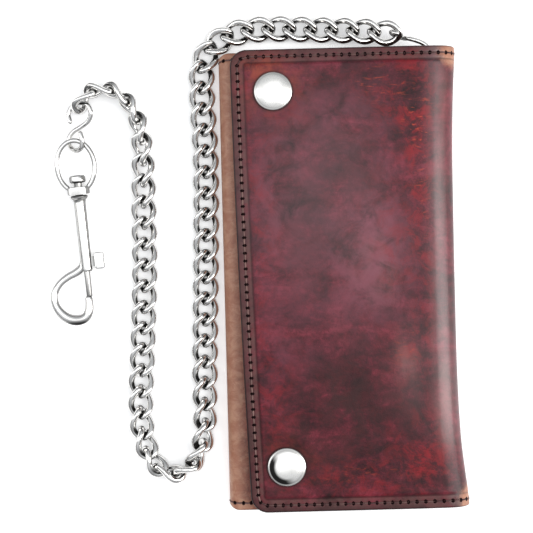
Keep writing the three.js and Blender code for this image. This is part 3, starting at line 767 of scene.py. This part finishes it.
def back_skin():
    near_end = np.linspace(80, HALF - RIM, 26)[1:]
    ys = np.concatenate([-near_end[::-1], np.linspace(-80, 80, 150), near_end])
    us = np.concatenate([np.linspace(RIM, FOLD_FROM, 60), np.linspace(FOLD_FROM, BACK_FROM, 32)[1:],
                         np.linspace(BACK_FROM, BEND_FROM, 70)[1:], np.linspace(BEND_FROM, BACK_TOTAL, 27)[1:]])
    U, Y = np.meshgrid(us, ys)
    last = len(us) - 1
    boundary = [(len(ys) - 1, j, (0, 1)) for j in range(last, 0, -1)]
    boundary += [(i, 0, (-0.7, 0.7) if i == len(ys) - 1 else (-0.7, -0.7) if i == 0 else (-1, 0))
                 for i in range(len(ys) - 1, -1, -1)]
    boundary += [(0, j, (0, -1)) for j in range(1, last + 1)]
    vertices, faces, flat, pattern = grid_solid(U, Y, boundary, lambda u, y, h: back_surface(u, y, h, BACK_HOLES))
    u, y, h = pattern.T
    end = HALF - np.abs(y)
    strip = blob(u, y, (FOLD_FROM + 4, 0), (9, LONG))
    shine = np.exp(-((u - BACK_TOTAL) / 9) ** 2)
    inner = (h < -0.5) & (u > FOLD_FROM + 2)
    looks = {
        "rest": np.column_stack([FLAP_RIGHT + BACK_TOTAL - u, y, h]) + PATTERN_ORIGIN,  # runs on from the flap's
        "burnish_and_shadow": np.clip(np.clip(1 - end / 0.75, 0, 1) * (1 - 0.7 * strip)
                           + 0.15 * (1 - smoothstep((end - 0.6) / 5)) * (1 - strip), 0, 1),
        "red": 0.35 - 0.25 * shine + 0.4 * blob(u, y, (FOLD_FROM + 6, -60), (10, 50)),
        "gloom": 0.35 * (1 - strip) * (1 - 0.75 * shine),
        "plum_and_sheen": 0.2 * (1 - shine),
        "scuff": 0.15 * (1 - shine),
        "worn": strip * (0.78 + 0.9 * (1 - smoothstep((end - 1) / 4))) + 0.5 * inner + blobs(
            u, y, (0.3, FOLD_FROM + 9, 0, 3, LONG), (1.1, BACK_TOTAL, 88, 7, 6), (1.2, BACK_TOTAL, -89, 7, 7),
            (0.35, BACK_TOTAL, -40, 5, 60), (0.3, BACK_TOTAL, 60, 4, 30)),
        # painted highlight: faint along the spine's bend and on the folded strip
        "painted_highlight": 0.12 * shine * (1 - smoothstep((np.abs(y) - 76) / 10)) + 0.1 * strip,
        "polish": 0.35 * shine + 0.6 * strip,
        "border": 0.4 * (1 - smoothstep((end - 4.6) / 1.2)) * (1 - strip),
        "warm": 0.75 * strip,
    }
    obj = make("cover_back_leather", vertices, faces, OXBLOOD, looks, flat)
    return consistent(obj)


flap = flap_skin()
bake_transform(flap)
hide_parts("cover_flap", "cover_spine")
back = back_skin()
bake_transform(back)
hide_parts("cover_back")


# ---------------------------------------------------------------- stitching
def stitches(name, holes, surface, pale):
    """Separate stitches between neighbouring holes, and the dark mouth of each hole."""
    threads, mouths = Gather(), Gather()
    holes = np.asarray(holes)
    for k, at in enumerate(holes):
        last = k == len(holes) - 1
        step = holes[k] - holes[k - 1] if last else holes[k + 1] - at
        if np.hypot(*step) > 1.6 * STITCH_PITCH:
            step = step / np.hypot(*step) * STITCH_PITCH
            last = True
        along = step / np.hypot(*step)
        across = np.array([-along[1], along[0]])
        # the hole's mouth is a small diamond, the mark of the pricking iron; its near-black colour is painted shade
        # in the hole
        ring, steps = [], 12
        for level, size in ((0.07, 1.0), (0.02, 0.7), (-0.35, 0.4)):
            for a in np.linspace(0, 2 * np.pi, steps, endpoint=False):
                c, d = math.cos(a), math.sin(a)
                reach = 1 / (abs(c) + abs(d)) ** 0.75
                spot = at + size * reach * (0.95 * c * along + 0.92 * d * across)
                ring.append((*spot, level))
        ring.append((*at, -0.4))
        ring.append((*at, 0.03))
        ring = np.array(ring)
        points = surface(ring[:, 0], ring[:, 1], 1 + ring[:, 2])
        faces = bands(3, steps)
        faces += [(2 * steps + i, 2 * steps + (i + 1) % steps, 3 * steps) for i in range(steps)]
        faces += [((i + 1) % steps, i, 3 * steps + 1) for i in range(steps)]
        mouths.add(points, faces)
        if last:
            continue
        t = np.linspace(0.24, 0.76, 7)
        line = at + t[:, None] * step + 0.05 * np.sin(k * 1.7) * across
        lift = 0.16 * np.sin(np.pi * t) - 0.02
        path = surface(line[:, 0], line[:, 1], 1 + lift)
        vertices, faces = tube(path, 0.25 + 0.07 * np.sin(np.pi * t), 8)
        threads.add(vertices, faces, pale=float(np.clip(pale(at) + 0.12 * math.sin(k * 2.3), 0, 1)))
    return threads.made(name + "_thread", THREAD), mouths.made(name + "_holes", HOLE)


def flap_pale(at):
    """How pale a stitch of the flap is: the thread has kept its colour best along the free edge."""
    return 0.5 if abs(at[1]) < HALF - FLAP_CORNER and at[0] < -20 else 0.14


on_flat = FLAP_HOLES[FLAP_HOLES[:, 0] < SPINE_X + 0.5]
thread, mouth = stitches("flap_stitch", on_flat, flap_surface, flap_pale)
place(thread, "flap", "waxed_thread", "thread_flap")
place(mouth, "flap", "waxed_thread")
for sign, word in ((1, "top"), (-1, "bottom")):
    bend_holes = FLAP_HOLES[(FLAP_HOLES[:, 0] >= SPINE_X - 2.7) & (FLAP_HOLES[:, 1] * sign > 0)]
    bend_holes = bend_holes[np.argsort(bend_holes[:, 0])]
    thread, mouth = stitches(f"spine_stitch_{word}", bend_holes, flap_surface, lambda at: 0.15)
    for piece in (thread, mouth):
        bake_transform(piece)

for sign, word in ((1, "top"), (-1, "bottom")):
    row = BACK_HOLES[BACK_HOLES[:, 1] * sign > 0]
    thread, mouth = stitches(f"back_stitch_{word}", row, back_surface, lambda at: 0.35)
    for piece in (thread, mouth):
        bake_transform(piece)
    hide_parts(f"thread_panel_{word}")


# ---------------------------------------------------------------- lining, divider and card pockets
def leaf(name, outline, bottom, top, material, crease=1.6, facing=1):
    """A thin piece of leather from its outline of (x, y) points. Its edge is rounded, and a crease runs inside the
    edge on the face that looks up, or down where facing is -1."""
    outline = np.asarray(outline, float)
    centre = (outline.max(0) + outline.min(0)) / 2
    half = (outline.max(0) - outline.min(0)) / 2
    thick, middle = top - bottom, (bottom + top) / 2
    rings = [(0.3 * (1 - math.cos(a)), 0.5 * thick * math.sin(a)) for a in np.linspace(-np.pi / 2, np.pi / 2, 7)]
    face = 0.5 * thick
    rings += [(crease - 0.4, face), (crease, face - 0.14), (crease + 0.4, face), (crease + 2.5, face),
              (9, face - 0.02)]
    vertices, burnish_and_shadow = [], []
    count = len(outline)
    for by, rise in rings:
        ring = centre + (outline - centre) * (1 - by / half)
        vertices += [(x, y, middle + facing * rise) for x, y in ring]
        shade = 1.0 if by < 0.32 else 0.65 if abs(by - crease) < 0.1 else 0.25 if by < crease else 0.0
        burnish_and_shadow += [shade] * count
    last = (len(rings) - 1) * count
    faces = [*bands(len(rings), count), tuple(range(last, last + count)), tuple(reversed(range(count)))]
    obj = make(name, vertices, faces, material,
               {"rest": np.array(vertices) + PATTERN_ORIGIN, "burnish_and_shadow": np.array(burnish_and_shadow)},
               flat_faces=(len(faces) - 1, len(faces) - 2))
    return consistent(obj)


def leaf_stitching(name, line, level, facing, body):
    """A row of stitches along a line on a flat leaf whose face is at this level."""
    holes = path_along(line, STITCH_PITCH, 0.4)
    thread, mouth = stitches(name, holes, lambda u, y, h: np.column_stack([u, y, level + facing * (h - 1)]),
                             lambda at: 0.45)
    for piece in (thread, mouth):
        consistent(piece)
        place(piece, body, "waxed_thread")


def soft_rectangle(x0, x1, y0, y1, r, notch=0.0):
    """A rounded rectangle's outline, with a thumb notch of this depth in its right-hand side."""
    points = []
    for cx, cy, start in ((x1 - r, y0 + r, -90), (x1 - r, y1 - r, 0), (x0 + r, y1 - r, 90), (x0 + r, y0 + r, 180)):
        if start == 0 and notch:
            for t in np.linspace(-1, 1, 17):
                points.append((x1 - notch * (1 - t * t) ** 1.5, (y0 + y1) / 2 + 11 * t))
        points += [(cx + r * math.cos(math.radians(start + a)), cy + r * math.sin(math.radians(start + a)))
                   for a in np.linspace(0, 90, 8)]
    return points


LINING_UNDER, LINING_TOP = 14.95, 15.85
lining_outline = flap_line(0.9, 34.0, 9, 12)
lining = leaf("lining", [lining_outline[-1], *lining_outline[:-1]], LINING_UNDER, LINING_TOP, LINING, 5.0, -1)
place(lining, "flap", "lining_leather", "flap_lining")
divider = leaf("divider", soft_rectangle(-40.2, 34, -86, 86, 3), 2.35, 3.15, LINING, 2.5)
place(divider, "wallet", "lining_leather", "bill_divider")
leaf_stitching("lining_stitch", flap_line(STITCH_INSET, 32.0, 9, 12)[:-1], LINING_UNDER, -1, "flap")

POCKETS = [(26, 13.8), (18, 12.65), (10, 11.5)]  # where each pocket opens, and the height of its underside
POCKET_BACK, POCKET_END = -34, 50  # the closed long side, and half the length
POCKET_THICKNESS = 0.8
ROW_END = POCKET_END - 2.4
for k, (mouth_x, under) in enumerate(POCKETS, 1):
    outline = soft_rectangle(POCKET_BACK, mouth_x, -POCKET_END, POCKET_END, 2.5, 0.0 if k == 1 else 3.2)
    pocket = leaf(f"pocket_{k}", outline, under, under + POCKET_THICKNESS, CARD, 1.4, -1)
    place(pocket, "flap", "card_leather", f"card_pocket_{k}")
    row_start, row_turn = mouth_x - 0.8, POCKET_BACK + 2.4
    if k == 3:
        row = [(row_start, ROW_END), (row_turn, ROW_END), (row_turn, -ROW_END), (row_start, -ROW_END)]
        leaf_stitching("pocket_stitch_3", row, under, -1, "flap")
    else:
        for side, word in ((1, "top"), (-1, "bottom")):
            row = [(mouth_x - 7.4, side * ROW_END), (row_start, side * ROW_END)]
            leaf_stitching(f"pocket_stitch_{k}_{word}", row, under, -1, "flap")


# ---------------------------------------------------------------- snap fasteners and grommet
def turned(name, profile, at, material, body, slot, node, closed=False):
    """A small turned fitting that stands at this place of the wallet."""
    profile = rounded([*profile, profile[0]], 0.12)[:-1] if closed else rounded(profile, 0.12)
    vertices, faces = lathe(profile, 64, closed)
    faces = outward(vertices, faces)
    obj = make(name, vertices + (*at, 0), faces, material, {"shade": np.zeros(len(vertices))})
    obj.data.set_sharp_from_angle(angle=math.radians(50))
    place(obj, body, slot, node)


CAP_UNDER, SOCKET_TOP, STUD_BASE, POST_UNDER = 18.5, 14.65, 9.95, 6.6  # heights of the snaps' pieces
for word, at in SNAPS.items():
    dome = [(0, 2.08)]
    dome += [(r, 2.08 - 0.86 * (r / 6.3) ** 2.6) for r in np.linspace(0.7, 6.3, 14)]
    dome += [(6.7, 1.02), (7.0, 0.92), (7.25, 0.8), (7.42, 0.6), (7.5, 0.38), (7.46, 0.16), (7.3, 0.03), (7.0, 0)]
    profile = [(r, CAP_UNDER + z) for r, z in dome]
    profile += [(1.9, CAP_UNDER), (1.9, SOCKET_TOP - 1.3), (0, SOCKET_TOP - 1.3)]
    vertices, faces = lathe(profile, 96)
    faces = outward(vertices, faces)
    r = np.hypot(vertices[:, 0], vertices[:, 1])
    a = np.arctan2(vertices[:, 1], vertices[:, 0])
    # handling has left each cap a little out of true, and dented the bottom one
    upper = smoothstep((vertices[:, 2] - CAP_UNDER - 0.5) / 0.5)
    phase = 0.7 if word == "top" else 2.9
    vertices[:, 2] -= upper * (0.05 + 0.05 * np.sin(2 * a + phase) * (r / 7) ** 2
                               + 0.03 * np.sin(3 * a + 1.9 * phase) * (r / 7))
    if word == "bottom":
        vertices[:, 2] -= upper * 0.16 * np.exp(-((vertices[:, 0] - 3.4) ** 2 + (vertices[:, 1] - 3.2) ** 2) / 1.1)
    vertices += (*at, 0)
    # painted shade in the groove at the rim and down the rolled edge, and painted reflection in a dark crescent on
    # the bottom cap and a faint band on the top one
    rim = np.exp(-((r - 6.75) / 0.22) ** 2) * 0.35 + smoothstep((r - 7.2) / 0.3) * 0.8
    if word == "bottom":
        painted_shade = 1.1 * smoothstep((r - 4.0) / 1.4) * (1 - smoothstep((r - 6.6) / 0.25))
        painted_shade *= smoothstep(0.15 + 1.1 * np.cos(a - 3.7))
        painted_shade += 0.25 * np.exp(-((r - 6.5) / 0.35) ** 2)
    else:
        painted_shade = 0.1 * np.exp(-((r * np.sin(a) - 0.4) / 1.4) ** 2) * (1 - smoothstep((r - 5.6) / 0.8))
    rim = np.maximum(rim, upper * painted_shade)
    cap = make(f"cap_{word}", vertices, faces, SATIN, {"shade": rim})
    cap.data.set_sharp_from_angle(angle=math.radians(60))
    place(cap, "flap", "nickel_plate", f"snap_cap_{word}")
    z = SOCKET_TOP
    turned(f"socket_{word}", [(2.3, z - 0.8), (4.4, z - 0.8), (4.4, z - 2.6), (3.1, z - 2.6), (3.1, z - 3.1),
                              (5.1, z - 3.1), (5.2, z), (2.3, z)], at, NICKEL, "flap", "nickel_plate",
           f"snap_socket_{word}", closed=True)
    z = STUD_BASE
    turned(f"stud_{word}", [(1.85, z), (4.6, z), (4.6, z + 0.6), (2.25, z + 0.7), (2.25, z + 1.9), (2.75, z + 2.2),
                            (2.5, z + 2.75), (1.85, z + 2.75)], at, NICKEL, "wallet", "nickel_plate",
           f"snap_stud_{word}", closed=True)
    turned(f"post_{word}", [(0, POST_UNDER), (4, POST_UNDER), (4, 7.25), (1.5, 7.25), (1.5, z + 2.4), (0, z + 2.4)],
           at, STEEL, "wallet", "plain_steel", f"snap_post_{word}")

GROMMET = (35.8, 84.6)
turned("eyelet", [(2.1, 6.55), (2.6, 6.55), (2.6, 9.9), (3.8, 9.9), (3.8, 10.3), (3.2, 10.5), (2.5, 10.5),
                  (2.1, 10.1)], GROMMET, NICKEL, "wallet", "nickel_plate", "grommet_eyelet", closed=True)
turned("washer", [(2.95, 6.65), (3.8, 6.65), (3.8, 7.25), (2.95, 7.25)], GROMMET, NICKEL, "wallet", "nickel_plate",
       "grommet_washer", closed=True)

# ---------------------------------------------------------------- chain
CHAIN_ROUTE = [
    (24.5, 96.6), (10, 98.4), (-8, 99.8), (-24, 100.6), (-36, 100.1), (-46.6, 96.2), (-52.3, 88.5), (-53, 75.4),
    (-52.2, 52), (-52.6, 28), (-53.4, 2), (-54.4, -25), (-55, -46), (-55.4, -59), (-57.8, -68.5), (-63.4, -75.2),
    (-71, -75.8), (-76.9, -69.6), (-79.8, -61), (-80.8, -50), (-80, -36), (-78.7, -15), (-77.6, 8), (-77.4, 30),
    (-77.1, 48), (-77.5, 58), (-79.3, 67), (-84, 74.6), (-91, 78.6), (-98.2, 77), (-102, 71.5)]
LINKS = 52
LINK_WIRE = 1.38  # the wire's radius
LINK_LENGTH, LINK_WIDTH = 5.85, 4.0  # half sizes, to the middle of the wire
LINK_TWIST = math.radians(48)
CHAIN_LIFT, LIFTED_LINKS = 5.2, 5  # how high the chain starts at the wallet's hook, and over how many links


def link_roll(i):
    """How far a link is turned about its own length."""
    return math.radians(-180 * smoothstep((i - 21) / 16.5) - 90 * smoothstep((i - 41) / 9.5))


def link_pitch(i):
    """The distance to the next link, less where the chain bends sharply."""
    return 8.1 - 0.55 * math.exp(-((i - 29.8) / 2.6) ** 2) - 0.5 * math.exp(-((i - 50) / 2) ** 2)


def link_lift(i):
    return CHAIN_LIFT * (1 - smoothstep(i / LIFTED_LINKS))


def turn(points, axis, angle):
    """The points turned about an axis through the origin."""
    c, s_ = math.cos(angle), math.sin(angle)
    x, y, z = points.T
    if axis == "x":
        return np.column_stack([x, y * c - z * s_, y * s_ + z * c])
    if axis == "y":
        return np.column_stack([x * c + z * s_, y, -x * s_ + z * c])
    return np.column_stack([x * c - y * s_, x * s_ + y * c, z])


def ring_mesh(length, width, wire, twist, steps=44, sides=14, flat=0.0):
    """An oval ring of round wire. The ends turn about its long axis by twist. flat presses its faces."""
    angle = np.linspace(0, 2 * np.pi, steps, endpoint=False)
    around = np.linspace(0, 2 * np.pi, sides, endpoint=False)
    A, B = np.meshgrid(angle, around, indexing="ij")
    nx, ny = width * np.cos(A), length * np.sin(A)
    size = np.hypot(nx, ny)
    out = wire * np.cos(B)
    z = wire * np.sin(B)
    z = np.sign(z) * np.minimum(np.abs(z), wire * (1 - flat))
    x = length * np.cos(A) + out * nx / size
    y = width * np.sin(A) + out * ny / size
    points = np.column_stack([x.ravel(), y.ravel(), z.ravel()])
    spin = twist * points[:, 0] / length
    c, s_ = np.cos(spin), np.sin(spin)
    x, y, z = points.T
    points = np.column_stack([x, y * c - z * s_, y * s_ + z * c])
    faces = []
    for i in range(steps):
        for k in range(sides):
            n, m = (i + 1) % steps, (k + 1) % sides
            faces.append((i * sides + k, n * sides + k, n * sides + m, i * sides + m))
    return points, outward(points, faces)


chain_curve = Curve([(x, y, 0) for x, y in CHAIN_ROUTE])
walked = np.concatenate([[0], np.cumsum([link_pitch(i) for i in range(LINKS)])])
chain_joints = chain_curve.even(walked / walked[-1])


def shade_under(obj, low=0.05, high=0.66, strength=1.0, both=False):
    """Paints shade on the sides and undersides of a bright piece, darker the further each normal turns from straight
    up.
    """
    mesh = obj.data
    normal = np.empty(len(mesh.vertices) * 3, np.float32)
    mesh.vertices.foreach_get("normal", normal)
    up = normal.reshape(-1, 3)[:, 2]
    if both:
        up = np.abs(up)
    values = strength * (1 - smoothstep((up - low) / (high - low)))
    attribute = mesh.attributes.get("shade") or mesh.attributes.new("shade", "FLOAT", "POINT")
    attribute.data.foreach_set("value", values.astype(np.float32))


for i in range(LINKS):
    a, b = chain_joints[i].copy(), chain_joints[i + 1].copy()
    a[2], b[2] = link_lift(i), link_lift(i + 1)
    along = b - a
    points, faces = ring_mesh(LINK_LENGTH, LINK_WIDTH, LINK_WIRE, LINK_TWIST, flat=0.06)
    points = turn(points, "x", link_roll(i))
    height = -points[:, 2].min()
    points = turn(points, "y", -math.atan2(along[2], math.hypot(along[0], along[1])))
    points = turn(points, "z", math.atan2(along[1], along[0]))
    points += (a + b) / 2 + np.array([0, 0, height + 0.06])
    link = make(f"link_{i + 1:02d}", points, faces, NICKEL)
    # painted shade on each link's sides and underside, reaching further up on the links nearest the wallet
    shade_under(link, high=0.58 - 0.2 * smoothstep((i - 24) / 8))
    body = f"chain_{i // 2 + 1:02d}"
    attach(link, body)
    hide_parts(body)

# ---------------------------------------------------------------- S-hooks
WIRE = 0.95
WALLET_HOOK = [
    (37.4, 89.4, 5.4), (36.9, 87.4, 5), (36.2, 85.6, 5.3), (35.8, 84.6, 7), (35.8, 84.6, 9.8), (36.2, 85.7, 11.6),
    (36.9, 88, 12.1), (36.6, 90.6, 11.9), (34.4, 92.4, 11.5), (31.6, 93.6, 11), (29.3, 94.5, 9.4), (28.4, 94.9, 6.8),
    (27, 95.6, 4.7), (24.6, 96.5, 4.6), (23.1, 97.2, 6.6), (23.1, 97.2, 9.2), (24.9, 96.4, 10.7)]
CLIP_HOOK = [
    (-106, 65.6, 3.3), (-106.6, 68.6, 2.9), (-105, 71.6, 3.2), (-101.8, 73, 4.9), (-98.6, 71.8, 6.6),
    (-97.2, 68.6, 6.8), (-98.6, 65.3, 5.4), (-101.8, 63.2, 3.9), (-105, 61.4, 3), (-106.8, 58.8, 2.8),
    (-106.2, 55.6, 3.2), (-103.6, 53.9, 4.8), (-101.2, 55, 7.2), (-100.8, 58, 8.3), (-101.4, 60.4, 8.1)]
for name, points, body in (("hook_at_wallet", WALLET_HOOK, "wallet_hook"), ("hook_at_clip", CLIP_HOOK, "clip_hook")):
    path = Curve(points, 400).even(np.linspace(0, 1, 90))
    vertices, faces = tube(path, WIRE, 16)
    hook = make(name, vertices, faces, NICKEL)
    # painted shade on the hook's sides and underside
    shade_under(hook, high=0.7)
    place(hook, body, "nickel_plate", "s_hook_wallet" if body == "wallet_hook" else "s_hook_clip")

# ---------------------------------------------------------------- trigger snap
CLIP_AT = np.array([-103.1, 35.8, 3.3])
CLIP_HEADING = math.radians(-85.5)


def on_clip(points, tilt=0.0):
    """Points from the clip's own axes, X along it, at their place."""
    return turn(turn(np.asarray(points, float), "y", tilt), "z", CLIP_HEADING) + CLIP_AT


def along_axis(profile, segments):
    """A turned solid about the clip's own axis, from [radius, distance along it] points."""
    vertices, faces = lathe(profile, segments)
    vertices = turn(vertices, "y", math.pi / 2)
    return vertices, outward(vertices, faces)


def block(x0, x1, y0, y1, z0, z1):
    """A box between these limits."""
    vertices = np.array([(x, y, z) for x in (x0, x1) for y in (y0, y1) for z in (z0, z1)], float)
    faces = [(0, 1, 3, 2), (4, 6, 7, 5), (0, 4, 5, 1), (2, 3, 7, 6), (0, 2, 6, 4), (1, 5, 7, 3)]
    return vertices, outward(vertices - vertices.mean(0), faces)


def carve(name, first, steps):
    """Joins and cuts closed solids: steps are (operation, (vertices, faces)). All are in the clip's own axes."""
    obj = make(name, first[0], first[1], NICKEL)
    for operation, (vertices, faces) in steps:
        tool = make("tool", vertices, faces, NICKEL)
        modifier = obj.modifiers.new("carve", "BOOLEAN")
        modifier.operation, modifier.solver, modifier.object = operation, "EXACT", tool
        graph = bpy.context.evaluated_depsgraph_get()
        mesh = bpy.data.meshes.new_from_object(obj.evaluated_get(graph))
        obj.modifiers.clear()
        old = obj.data
        obj.data = mesh
        bpy.data.meshes.remove(old)
        bpy.data.objects.remove(tool)
    obj.data.name = name
    return obj


def settle(obj, tilt=0.0, grooves=()):
    """Moves a mesh from the clip's own axes to its place, and sets its shading: painted shade on its sides and in
    dark lines at grooves, which are (distance, width).
    """
    mesh = obj.data
    points = np.empty(len(mesh.vertices) * 3, np.float32)
    mesh.vertices.foreach_get("co", points)
    points = points.reshape(-1, 3) / MM
    along = points[:, 0].copy()
    points = on_clip(points, tilt) * MM
    mesh.vertices.foreach_set("co", points.astype(np.float32).ravel())
    mesh.polygons.foreach_set("use_smooth", np.ones(len(mesh.polygons), bool))
    mesh.set_sharp_from_angle(angle=math.radians(38))
    mesh.update()
    shade_under(obj, low=0.3, high=0.96, strength=0.78, both=True)
    painted_shade = obj.data.attributes["shade"].data
    values = np.empty(len(painted_shade), np.float32)
    painted_shade.foreach_get("value", values)
    # painted shade: a dark line round the piece at each groove
    for at, width in grooves:
        values = np.maximum(values, np.exp(-((along - at) / width) ** 2))
    painted_shade.foreach_set("value", values.astype(np.float32))


# the eye: an oval ring on a flattened round boss, which turns on the barrel's neck
ring_points, ring_faces = ring_mesh(10.2, 7.5, 0.95, 0, 72, 16)
ring_points = ring_points + np.array([-12.0, 0, 0])
boss = along_axis(rounded([(0, -3.7), (4.2, -3.7), (4.45, -3.2), (4.45, -0.95), (4.2, -0.7), (0, -0.7)], 0.25), 56)
eye = carve("eye", boss, [
    ("INTERSECT", block(-5, 1, -6, 6, -3.05, 3.05)), ("UNION", (ring_points, ring_faces)),
    ("DIFFERENCE", along_axis([(0, -3.9), (2.3, -3.9), (2.3, 1), (0, 1)], 40)),
    ("DIFFERENCE", along_axis([(0, -20), (3.5, -20), (3.5, -3.75), (0, -3.75)], 40))])
settle(eye, math.radians(6.5))
place(eye, "swivel_eye", "nickel_plate", "swivel_eye")

# the body: swivel head, neck, collar and barrel, with the hook's arm growing out of the barrel's end
barrel = rounded([(0, -8.2), (2.7, -8.2), (3.2, -7.6), (3.2, -5.7), (2.9, -5.4), (1.6, -5.2), (1.6, -0.15),
                  (3.3, -0.15), (3.4, 0.35), (3.2, 1.0), (2.5, 1.5), (2.32, 2.6), (2.3, 29.6), (2.0, 30.3), (0, 30.3)], 0.2, 3)
ARM = [(26.2, -0.9, 0), (28.4, -1.9, 0), (30.2, -4.3, 0), (31.6, -7.6, 0), (34, -11.2, 0), (37.6, -13.7, 0),
       (41.6, -14, 0), (45.6, -12.2, 0), (48.4, -9, 0), (49.3, -5.4, 0), (48.4, -2.4, 0), (45.9, -0.8, 0),
       (43, -0.4, 0), (41.2, -0.4, 0)]
arm_path = Curve(ARM, 500).even(np.linspace(0, 1, 84))
share = np.linspace(0, 1, 84)
arm_radius = np.interp(share, [0, 0.1, 0.3, 0.5, 0.62, 0.74, 0.85, 1.0], [1.5, 1.6, 1.35, 1.5, 1.85, 2.05, 1.8, 1.45])
body = carve("snap_body", along_axis(barrel, 56), [
    ("UNION", tube(arm_path, arm_radius, 24, 0.86)),
    ("DIFFERENCE", block(15.2, 29.2, 0, 5, -0.85, 0.85)),
    ("DIFFERENCE", along_axis([(0, 5.2), (1.6, 5.2), (1.6, 30.9), (0, 30.9)], 36))])
# painted shade lines at the collar's steps, the head's step and the hook's outer bend
settle(body, grooves=[(0.15, 0.75), (2.0, 0.6), (-5.3, 0.4), (50.8, 1.5)])
place(body, "clip", "nickel_plate", "clip_body")

rod = along_axis(rounded([(0, 22), (1.2, 22), (1.2, 40.1), (0.9, 40.4), (0, 40.4)], 0.15, 3), 32)
knob_outline = soft_rectangle(23, 29.8, 3.5, 7.2, 1.0)
knob_points = []
for inset_by, z in ((0.5, -1.9), (0.12, -1.75), (0, -1.4), (0, 1.4), (0.12, 1.75), (0.5, 1.9)):
    for x, y in knob_outline:
        knob_points.append((26.4 + (x - 26.4) * (1 - inset_by / 3.4), 5.35 + (y - 5.35) * (1 - inset_by / 1.85), z))
n = len(knob_outline)
knob = (np.array(knob_points), [*bands(6, n), tuple(reversed(range(n))), tuple(range(5 * n, 6 * n))])
slider = carve("slider", rod, [("UNION", block(24.4, 28.4, 0, 4.4, -0.55, 0.55)), ("UNION", knob),
                               ("DIFFERENCE", block(25.3, 25.6, 6.9, 8, -3, 3)),
                               ("DIFFERENCE", block(27.2, 27.5, 6.9, 8, -3, 3)),
                               ("DIFFERENCE", block(26.25, 26.55, 6.9, 8, -3, 3))])
# painted shade at the plunger's tip
settle(slider, grooves=[(40.3, 0.6)])
place(slider, "plunger", "nickel_plate", "clip_plunger")

SPRING_START, SPRING_END, SPRING_TURNS = 5.6, 21.5, 11
t = np.linspace(0, 1, SPRING_TURNS * 18)
wound = 2 * np.pi * SPRING_TURNS * t
coil = np.column_stack([SPRING_START + (SPRING_END - SPRING_START) * t, np.cos(wound), np.sin(wound)])
vertices, faces = tube(coil, 0.24, 8)
spring = make("coil_spring", on_clip(vertices), faces, STEEL)
place(spring, "clip", "spring_steel", "clip_spring")
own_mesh(spring)
